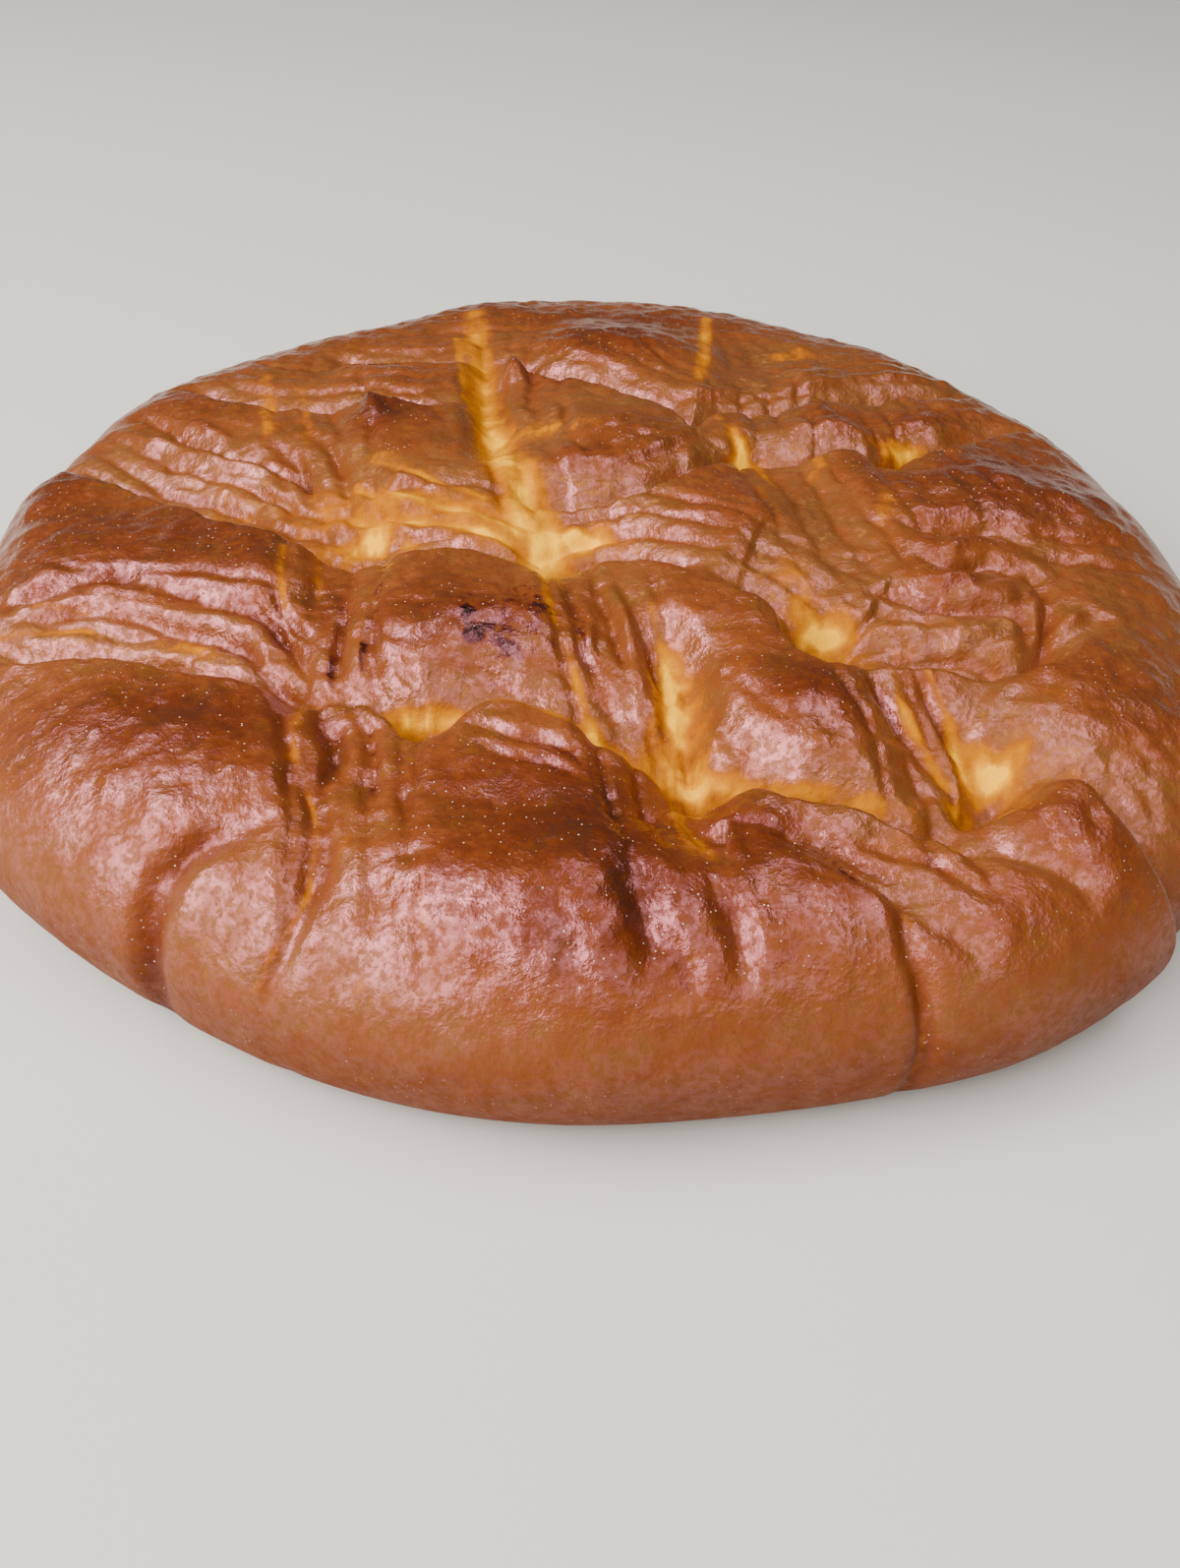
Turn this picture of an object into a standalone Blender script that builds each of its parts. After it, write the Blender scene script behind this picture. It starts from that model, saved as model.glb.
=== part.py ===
"""Gata: a round, flat loaf of enriched dough, scored with a fork and baked under egg wash.

Lengths in this file are millimetres, and MM turns them into Blender's metres.
+Z is up, the loaf stands on Z = 0 under its own middle, and its front is towards -Y.
"""
from collections import namedtuple

import bmesh
import bpy
import numpy as np
from mathutils import Matrix, Vector

MM = 0.001

# The plain loaf, before its folds.
CROWN_HEIGHT = 43.0
BELT_HEIGHT = 16.0       # the widest part of the side
BELT_RADIUS = 115.0      # the radius the profile is drawn at
SHOULDER_WIDTH = 32.0    # from the belt in to where the dome begins
DOME_RISE = 7.0          # how much the dome climbs inside the shoulder
TUCK_WIDTH = 16.0        # half axes of the curve under the belt
TUCK_DROP = 18.5
# Radius of the belt at equal steps round the loaf, anticlockwise from +X.
BELT_RADII = (110, 110, 111, 113, 114, 111, 110, 114, 111, 119, 117, 117, 115, 118, 120, 116)

# The net of points that the surface is drawn with, and the faces that are kept of it.
NET_STEPS = 220
PROFILE_STEPS = 60       # points along each stretch of the plain loaf's outline
TRIANGLES_KEPT = 11000

# A fold is where the crust drops behind a pillow: its line is the pillow's crest, as x, y and
# depth, and the crust falls behind it, to the left of the line's direction. The wall is how far
# the fall reaches, the rise how far the climb to the next pillow, and marks how strongly the
# fork was drawn along it.
Fold = namedtuple("Fold", "wall rise marks line")
FOLDS = {
    "left_back": Fold(4.5, 30, 1.0, (
        (-107, 15, 0), (-97, 7, 4.5), (-87, -0.5, 6.5), (-72, -10.5, 8), (-60, -18, 8.5),
        (-52, -22, 8), (-46, -25, 7), (-38, -27, 6), (-26, -26, 5.5), (-16, -28.5, 6.5),
        (-10, -32, 7.5), (-5, -28, 6), (1, -27, 5), (8, -30, 3), (16, -33, 1.5), (22, -35, 0))),
    "left_front": Fold(4.0, 15, 0.4, (
        (-104, -45, 1.5), (-93, -50, 5.5), (-75, -52, 6.5), (-58, -57, 5.5), (-52, -59, 5),
        (-47, -64, 5.5), (-41, -62, 4), (-36, -62, 4.5), (-32, -66, 6.5), (-27, -71, 7),
        (-22, -69, 6), (-16, -63, 5), (-9, -65, 5.5), (-2, -70, 7), (3, -72, 6), (8, -74, 4.5),
        (12, -80, 3), (15, -85, 0))),
    "middle_right": Fold(4.0, 9.5, 0.0, (
        (13, -80, 4), (18, -78.5, 8), (23, -77.5, 8), (28, -79.5, 7), (36, -80.5, 6),
        (44, -83.5, 6), (50, -86, 6.5), (56, -87, 4), (61, -90, 2), (66, -94, 0))),
    "far_right": Fold(4.5, 27, 0.4, (
        (14, -33, 0), (20, -36, 3), (25, -38, 5.5), (29, -44, 8), (33, -48, 9),
        (39, -50.5, 9), (46, -51, 8), (54, -51.5, 8), (61, -51, 7.5), (67, -48, 6.5),
        (73, -44, 5), (80, -38, 2.5), (88, -32, 0))),
    "right_front": Fold(5.0, 22, 0.0, (
        (50, -77, 2), (54, -79, 6), (58, -79, 7), (62, -75.5, 7), (66, -72.5, 6.5),
        (70, -73.5, 6.5), (75, -79, 6), (80, -84, 4.5), (85, -89, 2), (92, -94, 0))),
    "back_left": Fold(4.0, 9, 0.5, (
        (-92, 44, 0), (-80, 36, 4.5), (-66, 31, 5.5), (-54, 30, 4), (-44, 27, 5), (-36, 25, 4.5),
        (-28, 27, 2), (-22, 29, 0))),
    "back_middle": Fold(3.5, 9, 0.4, (
        (-20, -4, 0), (-13, -9, 4.5), (-6, -10, 6), (1, -9, 6), (8, -7, 5.5), (14, -3, 5.5),
        (20, 2, 4.5), (24, 8, 2), (27, 14, 0))),
    "back_right": Fold(3.5, 8.5, 0.4, (
        (20, 3, 0), (24, 8, 5), (30, 12, 7), (36, 12.5, 7), (44, 14, 7), (53, 11, 7.5),
        (58, 17, 7), (65, 23, 6.5), (71, 26, 5.5), (78, 32, 4), (88, 38, 0))),
    "far_back": Fold(4.0, 8.5, 0.4, (
        (-64, 58, 0), (-50, 52, 4), (-36, 50, 4.5), (-26, 54, 3), (-20, 52, 4.5),
        (-14, 47, 6.5), (-7, 42, 7), (1, 36, 7), (8, 31, 6.5), (13, 26, 6), (16, 22, 5.5),
        (20, 27, 6.5), (27, 31, 7), (35, 33, 7), (44, 38, 7), (52, 42, 7), (61, 47, 6.5),
        (68, 50, 5.5), (74, 52, 4), (84, 57, 0))),
    "front_right_lip": Fold(3.0, 14, 0.0, (
        (24, -87, 0), (30, -91, 2.5), (38, -95, 3.5), (42, -97, 3), (46, -99, 1.5),
        (52, -102, 0))),
    "middle_pillow_side": Fold(6.0, 9, 0.0, (
        (20, -79, 3), (20.5, -70, 5), (20, -60, 6), (17.5, -50, 5), (14, -42, 3), (11, -35, 0))),
    "right_pillow_side": Fold(3.5, 9, 0.0, (
        (67, -72, 0), (62, -68, 3.5), (61, -62, 4.5), (63, -56, 2.5), (67, -51, 0))),
    "blister_side": Fold(8.0, 6, 0.0, (
        (-15, 0, 0), (-14, 12, 3), (-15, 28, 4.5), (-17, 42, 4.5), (-19, 58, 4), (-22, 76, 0))),
}
MARK_OFFSETS = (5.5, 10.5, 16.0, 22.0)     # the fork's lines behind a fold's crest
MARK_DEPTH = 0.9
DEEP_FOLD = 3.0          # a fold this deep is marked in full
CLIMB_POWER = 1.35       # 1 climbs evenly to the next pillow, more stays low for longer

# Bands pressed down by the fork, running front to back: how strongly the tines marked the
# crust, then x, y and depth along the middle.
Band = namedtuple("Band", "marks line")
BAND_HALF_WIDTH = 12.5
BANDS = {
    "left": Band(1.0, (
        (-60, 66, 0), (-57, 40, 1.5), (-53, 15, 1.5), (-49, -5, 2), (-45, -22, 2.5),
        (-44, -42, 2.5), (-42, -53, 2.5), (-39, -64, 2.5), (-36, -75, 2), (-33, -88, 1.2),
        (-32, -104, 0))),
    "centre": Band(1.0, (
        (-20, 78, 0), (-19, 55, 2), (-17, 30, 2), (-11, 2, 2.5), (-5, -20, 3), (0, -38, 2.5),
        (2, -50, 3), (5, -62, 3.5), (8, -72, 3), (12, -84, 1.5), (16, -98, 0))),
    "right": Band(0.8, (
        (26, 76, 0), (29, 50, 2), (31, 25, 2), (34, 5, 2.5), (39, -12, 2.5), (43, -26, 2),
        (44, -38, 0.6), (45, -50, 1), (47, -57, 3), (50, -68, 4), (54, -80, 3), (58, -92, 0))),
    "far_right": Band(0.6, (
        (46, 72, 0), (52, 45, 1.2), (57, 22, 2), (62, 0, 1.2), (65, -16, 0))),
}
TINES = 4
TINE_PITCH = 5.6
TINE_DEPTH = 1.1
TINE_HALF_WIDTH = 1.3
DEEP_BAND = 2.0          # a band this deep is marked in full
CROSSING_SHARE = 0.8     # 2 would simply add a fold and a band where they cross, 0 is a soft corner

# Funnels where two bands of fork marks cross: x, y, radius and depth.
FUNNELS = ((-26, -63, 6, 2.5), (-42, -22, 8, 2), (-9, -24, 7, 2.5), (15, -66, 9, 4),
           (14, -50, 6, 2), (36, -42, 7, 3.5), (51, -79, 4, 2.5), (59, -70, 6, 3),
           (41, -84, 4, 1.5), (28, 9, 7, 2), (-23, 16, 7, 2), (54, 14, 5, 2),
           (17, 24, 5, 2))

# Single grooves: each stroke has its half width and a line of x, y and depth.
Stroke = namedtuple("Stroke", "half_width line")
GROOVES = (
    # creases in the side
    Stroke(2.4, ((-44, -85, 0), (-50, -87, 1.6), (-56, -89, 2.2), (-60, -93, 2.4),
                 (-62, -98, 2.4), (-62, -108, 0))),
    Stroke(2.0, ((-44, -70, 0), (-42, -76, 1.2), (-39, -84, 1.6), (-38, -92, 1.6),
                 (-39, -100, 1.6), (-44, -108, 0))),
    Stroke(2.4, ((-36, -88, 0), (-36, -95, 1.2), (-35, -102, 0))),
    Stroke(2.5, ((-28, -92, 0), (-27, -98, 1.0), (-27, -105, 0))),
    Stroke(2.8, ((-21, -93, 0), (-21, -101, 1.2), (-20, -110, 0))),
    Stroke(2.6, ((-3, -98, 0), (-2, -104, 1.0), (-2, -110, 0))),
    Stroke(2.6, ((4, -90, 0), (6, -96, 2.2), (9, -103, 2.2), (11, -111, 0))),
    Stroke(2.2, ((15, -93, 0), (18, -99, 1.8), (20, -105, 1.2), (21, -110, 0))),
    Stroke(1.5, ((11, -102, 0), (13, -107, 1.0), (14, -111, 0))),
    Stroke(1.4, ((41, -93, 0), (42, -97, 2.0), (44, -102, 1.8), (45, -106, 1.4),
                 (47, -112, 0))),
    Stroke(1.3, ((42, -95, 0), (46, -98, 1.2), (52, -100, 0))),
    Stroke(1.5, ((69, -20, 0), (70, -32, 1.2), (70, -42, 0))),
    # the hollow in front of the left pillow and the wrinkles under it
    Stroke(1.9, ((-106, -34, 0), (-98, -34.5, 1.8), (-88, -33, 2), (-80, -32, 2),
                 (-72, -33.5, 1.8), (-65, -36, 1.7), (-57, -40, 1.4), (-50, -46, 0.8),
                 (-46, -52, 0))),
    Stroke(1.2, ((-98, -39, 0), (-88, -38.5, 1.3), (-77, -38.5, 1.5), (-69, -41, 1.4),
                 (-60, -45, 0.8), (-56, -48, 0))),
    Stroke(1.2, ((-68, -41, 0), (-58, -45.5, 1.5), (-53, -51, 1.7), (-48.5, -55.5, 1.4),
                 (-43, -57, 0))),
    Stroke(1.1, ((-61, -34, 0), (-54.5, -41.5, 1.5), (-49, -47.5, 1.5), (-45.5, -53, 0))),
    Stroke(1.0, ((-56, -33, 0), (-51, -41, 1.3), (-46, -46.5, 0))),
    # tines that pressed hardest
    Stroke(1.2, ((-44, -32, 0), (-41, -39, 1.2), (-40, -47, 1.4), (-39, -54, 0))),
    Stroke(1.2, ((-37, -32, 0), (-35, -41, 1.3), (-33, -49, 1.4), (-33, -58, 0))),
    Stroke(2.2, ((-42, -62, 0), (-40, -68, 1.8), (-38, -75, 1.6), (-36, -82, 0))),
    Stroke(1.0, ((-35, -65, 0), (-32, -74, 1.2), (-29, -84, 0))),
    Stroke(1.0, ((-27, -68, 0), (-25, -75, 1.0), (-24, -81, 0))),
    Stroke(0.9, ((-20, -67, 0), (-14, -68, 1.2), (-8, -71, 1.3), (-2, -76, 0))),
    Stroke(0.9, ((-18, -71, 0), (-12, -73, 1.2), (-6, -76, 1.0), (-1, -79, 0))),
    Stroke(1.0, ((-23, -54, 0), (-17, -55, 1.1), (-11, -58, 0))),
    Stroke(1.3, ((-8, -26, 0), (-5, -40, 1.8), (-3, -50, 1.8), (1, -62, 0))),
    Stroke(1.1, ((-4, -24, 0), (-1, -38, 1.4), (2, -48, 1.2), (4, -54, 0))),
    Stroke(1.3, ((4, -38, 0), (8, -50, 1.8), (10, -59, 1.8), (12, -67, 0))),
    # pleats of the squeezed dough, right of the middle
    Stroke(1.2, ((42, -29, 0), (48, -30.5, 1.4), (57, -31, 1.5), (66, -29, 1.3), (73, -33, 0))),
    Stroke(1.2, ((43, -41, 0), (50, -43, 1.3), (58, -41, 1.5), (66, -42, 1.2), (72, -44, 0))),
    Stroke(1.2, ((48, -19, 0), (58, -21, 1.4), (65, -19, 1.5), (74, -20, 0))),
    Stroke(1.3, ((50, -10, 0), (60, -11, 1.5), (68, -9, 1.4), (76, -12, 0))),
    Stroke(1.4, ((42, -46, 0), (45, -57, 1.8), (49, -65, 1.6), (55, -72, 0))),
    Stroke(1.3, ((50, -48, 0), (53, -57, 1.8), (57, -63, 1.6), (60, -69, 0))),
    # the round crease that bounds them, and wrinkles beyond it
    Stroke(1.5, ((58, -51, 0), (66, -47, 1.8), (72, -40, 2.4), (74, -32, 2.2), (74, -24, 1.4),
                 (71, -15, 0))),
    Stroke(1.3, ((66, -14, 0), (84, -13, 1.2), (99, -11, 0))),
    Stroke(1.2, ((70, -8, 0), (86, -6, 1.0), (100, -3, 0))),
    # strokes of the fork behind the left pillow and beside the far blister
    Stroke(1.4, ((-64, 18, 0), (-60, 13, 1.6), (-56.5, 7.5, 1.9), (-55, 2.5, 1.7),
                 (-54, -2, 0))),
    Stroke(1.3, ((-57, 20, 0), (-52, 12, 1.4), (-49, 4, 1.4), (-47, -2, 0))),
    Stroke(1.5, ((-19, 67, 0), (-16.5, 51, 1.6), (-13, 39, 0))),
    # wrinkles of the right front pillow
    Stroke(1.1, ((27, -85, 0), (36, -88, 1.0), (46, -93, 0))),
    Stroke(1.1, ((36, -85, 0), (46, -88, 1.0), (58, -94, 0))),
    Stroke(1.0, ((18, -82, 0), (24, -84, 1.0), (31, -88, 0))),
)
# Pleats stand up between them: the same numbers, with a height for the depth.
PLEATS = (
    Stroke(1.7, ((-97, 27, 0), (-87, 22, 1.3), (-78, 17, 1.5), (-69, 11.5, 1.3), (-60, 7, 0))),
    Stroke(1.8, ((-86, 29, 0), (-77, 23.5, 1.5), (-70, 19, 0))),
    Stroke(1.7, ((-82, 14, 0), (-69, 7.5, 1.4), (-62, 3, 0))),
    Stroke(1.5, ((-62, 40, 0), (-58, 28, 1.0), (-55, 17, 0))),
    Stroke(1.6, ((-47, 38, 0), (-45, 28, 1.2), (-43, 18, 0))),
    Stroke(1.5, ((75, -32, 0), (78, -30, 1.6), (81, -28, 0))),
    Stroke(3.2, ((43, -35, 0), (52, -37, 1.5), (62, -36, 1.7), (71, -38, 0))),
    Stroke(2.8, ((45, -25, 0), (54, -26, 1.4), (63, -25, 1.6), (73, -26, 0))),
    Stroke(2.6, ((48, -15, 0), (57, -16, 1.3), (66, -14, 1.4), (76, -16, 0))),
    Stroke(2.8, ((48, -5, 0), (58, -6, 1.3), (67, -4, 1.4), (77, -6, 0))),
)

# Pillows that stand a little proud: x, y, half length, half width and height.
PILLOWS = ((-76, -22, 26, 14, 2), (-101, 2, 10, 13, 4), (-19, 49, 5, 5, 3.5),
           (-26, -46, 13, 12, 3), (29, -61, 16, 9, 1.8), (-66, -74, 26, 14, 2),
           (-6, -97, 26, 10, 3), (70, -62, 11, 12, 3),
           (44, -98, 24, 10, 1.5), (84, -58, 16, 22, 1), (-80, 32, 16, 10, 1.2),
           (2, 20, 11, 8, 1.8), (72, 5, 20, 10, 4), (0, 62, 15, 10, 2), (-56, -30, 8, 7, 1.2),
           (-41, 26, 7, 10, 1.5), (-7, 4, 6, 5, 3), (14, -14, 9, 7, 1.5), (40, 24, 8, 5, 1.5),
           (56, 54, 16, 7, 1.5), (66, -80, 12, 7, 1.5))

# How far the hand-drawn lines wander sideways: wavelength, sway, and the seeds for x and y.
WANDERING = ((17.0, 1.6, 1, 3), (6.0, 0.6, 2, 4))

# Slow unevenness of the dough, as wavelength, height and seed.
UNEVENNESS = ((34.0, 1.1, 5), (15.0, 0.5, 6))

CRUST_COLOUR = (0.36, 0.125, 0.035)
CRUST_ROUGHNESS = 0.38


def clear_scene():
    for item in list(bpy.data.objects):
        bpy.data.objects.remove(item, do_unlink=True)


def ease(share):
    """A smooth step from 0 to 1."""
    share = np.clip(share, 0.0, 1.0)
    return share * share * (3.0 - 2.0 * share)


def waves(x, y, cell, seed):
    """Smooth random heights between -1 and 1, with one value for each cell of the plan."""
    size = 64
    table = np.random.default_rng(seed).uniform(-1.0, 1.0, (size, size))
    column = np.floor(x / cell).astype(int)
    row = np.floor(y / cell).astype(int)
    along = ease(x / cell - column)
    up = ease(y / cell - row)
    near, far = [table[side % size, column % size] * (1 - along)
                 + table[side % size, (column + 1) % size] * along for side in (row, row + 1)]
    return near * (1 - up) + far * up


def smooth_line(points, steps=5):
    """A rounded line (Catmull-Rom) through points of x, y and value."""
    points = np.array(points, dtype=float)
    ends = np.vstack([2 * points[0] - points[1], points, 2 * points[-1] - points[-2]])
    share = np.linspace(0.0, 1.0, steps, endpoint=False)[:, None]
    spans = []
    for before, start, end, after in zip(ends, ends[1:], ends[2:], ends[3:]):
        spans.append(0.5 * (2 * start + (end - before) * share
                            + (2 * before - 5 * start + 4 * end - after) * share ** 2
                            + (3 * start - before - 3 * end + after) * share ** 3))
    return np.vstack(spans + [points[-1:]])


def measure_line(points, x, y):
    """Distance across a line (positive on its left) and the line's value there."""
    line = smooth_line(points)
    nearest = np.full(x.shape, np.inf)
    across = np.zeros(x.shape)
    value = np.zeros(x.shape)
    for start, end in zip(line, line[1:]):
        run = end - start
        length = np.hypot(run[0], run[1])
        share = np.clip(((x - start[0]) * run[0] + (y - start[1]) * run[1]) / length ** 2, 0, 1)
        away_x = x - start[0] - share * run[0]
        away_y = y - start[1] - share * run[1]
        distance = np.hypot(away_x, away_y)
        side = np.where(run[0] * away_y - run[1] * away_x >= 0, 1.0, -1.0)
        closer = distance < nearest
        nearest = np.where(closer, distance, nearest)
        across = np.where(closer, side * distance, across)
        value = np.where(closer, start[2] + share * run[2], value)
    return across, np.maximum(value, 0.0)


def fold_depth(fold, x, y):
    """A fold drops steeply behind its crest and climbs back slowly, marked by the fork."""
    across, depth = measure_line(fold.line, x, y)
    wall = ease(across / fold.wall)
    climb = np.clip(1.0 - (across - fold.wall) / fold.rise, 0.0, 1.0) ** CLIMB_POWER
    fall = depth * np.where(across < fold.wall, wall, climb)
    pressed = fold.marks * MARK_DEPTH * np.clip(depth / DEEP_FOLD, 0.0, 1.0)
    for offset in MARK_OFFSETS:
        fall += pressed * np.exp(-((across - offset) / TINE_HALF_WIDTH) ** 2)
    return fall


def band_depth(band, x, y):
    """A fork band is a shallow trough with one groove for each tine."""
    across, depth = measure_line(band.line, x, y)
    share = np.clip(np.abs(across) / BAND_HALF_WIDTH, 0.0, 1.0)
    trough = depth * (1.0 - share ** 2) ** 2
    pressed = band.marks * TINE_DEPTH * np.clip(depth / DEEP_BAND, 0.0, 1.0)
    for tine in range(TINES):
        offset = (tine - (TINES - 1) / 2) * TINE_PITCH
        trough += pressed * np.exp(-((across - offset) / TINE_HALF_WIDTH) ** 2)
    return trough


def join_depths(depths, sharpness=3.0):
    """The deepest of several, with rounded meetings."""
    total = np.zeros(depths[0].shape)
    for depth in depths:
        total += np.maximum(depth, 0.0) ** sharpness
    return total ** (1.0 / sharpness)


def relief(x, y):
    """How far the crust stands above the plain loaf at each place of the plan."""
    wander_x = x.copy()
    wander_y = y.copy()
    for wavelength, sway, seed_x, seed_y in WANDERING:
        wander_x += sway * waves(x, y, wavelength, seed_x)
        wander_y += sway * waves(x, y, wavelength, seed_y)
    folds = join_depths([fold_depth(fold, wander_x, wander_y) for fold in FOLDS.values()])
    bands = join_depths([band_depth(band, wander_x, wander_y) for band in BANDS.values()])
    height = -(folds ** 2 + bands ** 2 + CROSSING_SHARE * folds * bands) ** 0.5
    for centre_x, centre_y, radius, depth in FUNNELS:
        height -= depth * np.exp(-((x - centre_x) ** 2 + (y - centre_y) ** 2) / radius ** 2)
    for sign, strokes in ((-1, GROOVES), (1, PLEATS)):
        for stroke in strokes:
            across, strength = measure_line(stroke.line, wander_x, wander_y)
            height += sign * strength * np.exp(-(across / stroke.half_width) ** 2)
    for centre_x, centre_y, half_length, half_width, rise in PILLOWS:
        spread = ((x - centre_x) / half_length) ** 2 + ((y - centre_y) / half_width) ** 2
        height += rise * np.exp(-spread)
    for wavelength, rise, seed in UNEVENNESS:
        height += rise * waves(x, y, wavelength, seed)
    return height


def belt_radius(angle):
    """The belt's radius at an angle, as a smooth closed curve through BELT_RADII."""
    shares = np.fft.rfft(BELT_RADII) / len(BELT_RADII)
    radius = np.full(angle.shape, shares[0].real)
    for turns, share in enumerate(shares[1:-1], start=1):
        radius += 2 * (share.real * np.cos(turns * angle) - share.imag * np.sin(turns * angle))
    return radius


def plain_profile():
    """The plain loaf's outline from its crown to below its foot, as rows of radius and height."""
    dome_edge = BELT_RADIUS - SHOULDER_WIDTH
    shoulder_height = CROWN_HEIGHT - DOME_RISE
    radius = np.linspace(0.0, dome_edge, PROFILE_STEPS, endpoint=False)
    dome = np.column_stack([radius, CROWN_HEIGHT - DOME_RISE * (radius / dome_edge) ** 2])
    turn = np.linspace(0.0, np.pi / 2, PROFILE_STEPS, endpoint=False)
    shoulder = np.column_stack([dome_edge + SHOULDER_WIDTH * np.sin(turn),
                                BELT_HEIGHT + (shoulder_height - BELT_HEIGHT) * np.cos(turn)])
    turn = np.linspace(0.0, np.pi / 2, PROFILE_STEPS)
    tuck = np.column_stack([BELT_RADIUS - TUCK_WIDTH * (1 - np.cos(turn)),
                            BELT_HEIGHT - TUCK_DROP * np.sin(turn)])
    return np.vstack([dome, shoulder, tuck])


def loaf_surface(u, v):
    """Points of the crust for places in a unit disc: its centre is the crown, its rim the foot."""
    angle = np.arctan2(v, u)
    profile = plain_profile()
    steps = np.hypot(*np.diff(profile, axis=0).T)
    travelled = np.concatenate([[0.0], np.cumsum(steps)])
    slope = np.gradient(profile, travelled, axis=0)
    reach = np.hypot(u, v) * travelled[-1]
    radius = np.interp(reach, travelled, profile[:, 0])
    height = np.interp(reach, travelled, profile[:, 1])
    out = -np.interp(reach, travelled, slope[:, 1])
    up = np.interp(reach, travelled, slope[:, 0])
    steepness = np.hypot(out, up)
    radius *= belt_radius(angle) / BELT_RADIUS
    above_foot = ease(height / BELT_HEIGHT)
    under_belt = up < 0
    plan_x = radius * np.cos(angle)
    plan_y = radius * np.sin(angle)
    rise = relief(plan_x, plan_y) * np.where(under_belt, above_foot, 1.0)
    radius = radius + rise * out / steepness
    height = height + rise * up / steepness
    return np.column_stack([radius * np.cos(angle), radius * np.sin(angle), height])


def square_to_disc(u, v):
    """Places in a square moved to places in a unit disc, without crowding at its middle."""
    return u * np.sqrt(1 - v ** 2 / 2), v * np.sqrt(1 - u ** 2 / 2)


def make_crust_material():
    material = bpy.data.materials.new("egg_washed_crust")
    material.use_nodes = True
    shader = material.node_tree.nodes["Principled BSDF"]
    shader.inputs["Base Color"].default_value = (*CRUST_COLOUR, 1.0)
    shader.inputs["Roughness"].default_value = CRUST_ROUGHNESS
    shader.inputs["Metallic"].default_value = 0.0
    return material


def make_crust_mesh():
    """The crust as a net of squares drawn over the loaf, open below the board."""
    net = bmesh.new()
    bmesh.ops.create_grid(net, x_segments=NET_STEPS, y_segments=NET_STEPS, size=1.0)
    mesh = bpy.data.meshes.new("crust")
    net.to_mesh(mesh)
    net.free()
    places = np.empty(len(mesh.vertices) * 3, dtype=np.float32)
    mesh.vertices.foreach_get("co", places)
    places = places.reshape(-1, 3).astype(float)
    u, v = square_to_disc(places[:, 0], places[:, 1])
    points = loaf_surface(u, v) * MM
    mesh.vertices.foreach_set("co", points.astype(np.float32).ravel())
    mesh.update()
    return mesh


def thin_out(mesh, triangles):
    """The same surface with fewer triangles, kept where it bends most."""
    carrier = bpy.data.objects.new("carrier", mesh)
    bpy.context.collection.objects.link(carrier)
    thinner = carrier.modifiers.new("fewer_faces", "DECIMATE")
    thinner.decimate_type = "COLLAPSE"
    thinner.ratio = triangles / (2 * len(mesh.polygons))
    evaluated = carrier.evaluated_get(bpy.context.evaluated_depsgraph_get())
    thinned = bpy.data.meshes.new_from_object(evaluated)
    bpy.data.objects.remove(carrier, do_unlink=True)
    return thinned


def close_foot(mesh):
    """Cut the loaf off flat where it lies on the board, and close it there with one face."""
    shell = bmesh.new()
    shell.from_mesh(mesh)
    everything = shell.verts[:] + shell.edges[:] + shell.faces[:]
    bmesh.ops.bisect_plane(shell, geom=everything, dist=1e-6, plane_co=Vector((0, 0, 0)),
                           plane_no=Vector((0, 0, -1)), clear_outer=True)
    rim = [edge for edge in shell.edges if edge.is_boundary]
    bmesh.ops.contextual_create(shell, geom=rim)
    bmesh.ops.recalc_face_normals(shell, faces=shell.faces[:])
    shell.to_mesh(mesh)
    shell.free()


def stand_over_origin(mesh):
    """Move the loaf sideways until the middle of its box is over the origin."""
    places = np.array([vertex.co for vertex in mesh.vertices])
    middle = (places.min(axis=0) + places.max(axis=0)) / 2
    mesh.transform(Matrix.Translation((-middle[0], -middle[1], 0)))


def make_gata():
    mesh = thin_out(make_crust_mesh(), TRIANGLES_KEPT)
    close_foot(mesh)
    stand_over_origin(mesh)
    mesh.name = "gata"
    mesh.materials.clear()
    mesh.materials.append(make_crust_material())
    mesh.shade_smooth()
    mesh.set_sharp_from_angle(angle=np.radians(60))
    gata = bpy.data.objects.new("gata", mesh)
    bpy.context.collection.objects.link(gata)
    return gata


clear_scene()
make_gata()
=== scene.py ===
# %% [markdown]
# # A gata: fork-scored, egg-washed festive bread
#
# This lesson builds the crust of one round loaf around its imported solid. The solid already has
# the loaf's size, its large folds and its fork marks, in coarse facets. What is missing is all
# that makes bread look baked: fine wrinkles, a pebbled skin, blisters, the gloss of the egg wash,
# and a crust that runs from pale gold in the folds to near black where it blistered.

# %% The tools and the frame
from collections import namedtuple

import bmesh
import bpy
import numpy as np
from mathutils import Matrix, Vector


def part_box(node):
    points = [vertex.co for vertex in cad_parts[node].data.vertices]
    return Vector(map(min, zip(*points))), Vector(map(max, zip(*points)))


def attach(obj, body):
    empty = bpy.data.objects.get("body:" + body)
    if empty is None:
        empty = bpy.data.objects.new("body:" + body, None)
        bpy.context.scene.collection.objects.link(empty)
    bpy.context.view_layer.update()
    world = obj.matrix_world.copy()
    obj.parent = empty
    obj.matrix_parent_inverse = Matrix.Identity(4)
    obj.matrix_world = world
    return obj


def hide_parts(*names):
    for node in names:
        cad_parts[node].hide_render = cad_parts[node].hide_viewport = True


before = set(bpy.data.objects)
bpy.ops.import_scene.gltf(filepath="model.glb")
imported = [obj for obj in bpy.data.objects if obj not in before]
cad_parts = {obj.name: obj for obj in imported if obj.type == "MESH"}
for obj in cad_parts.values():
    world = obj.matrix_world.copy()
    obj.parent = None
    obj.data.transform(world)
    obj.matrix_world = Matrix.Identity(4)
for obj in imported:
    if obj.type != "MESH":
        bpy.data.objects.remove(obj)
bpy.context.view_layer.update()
LOAF = "gata"
MM = 0.001

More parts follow.
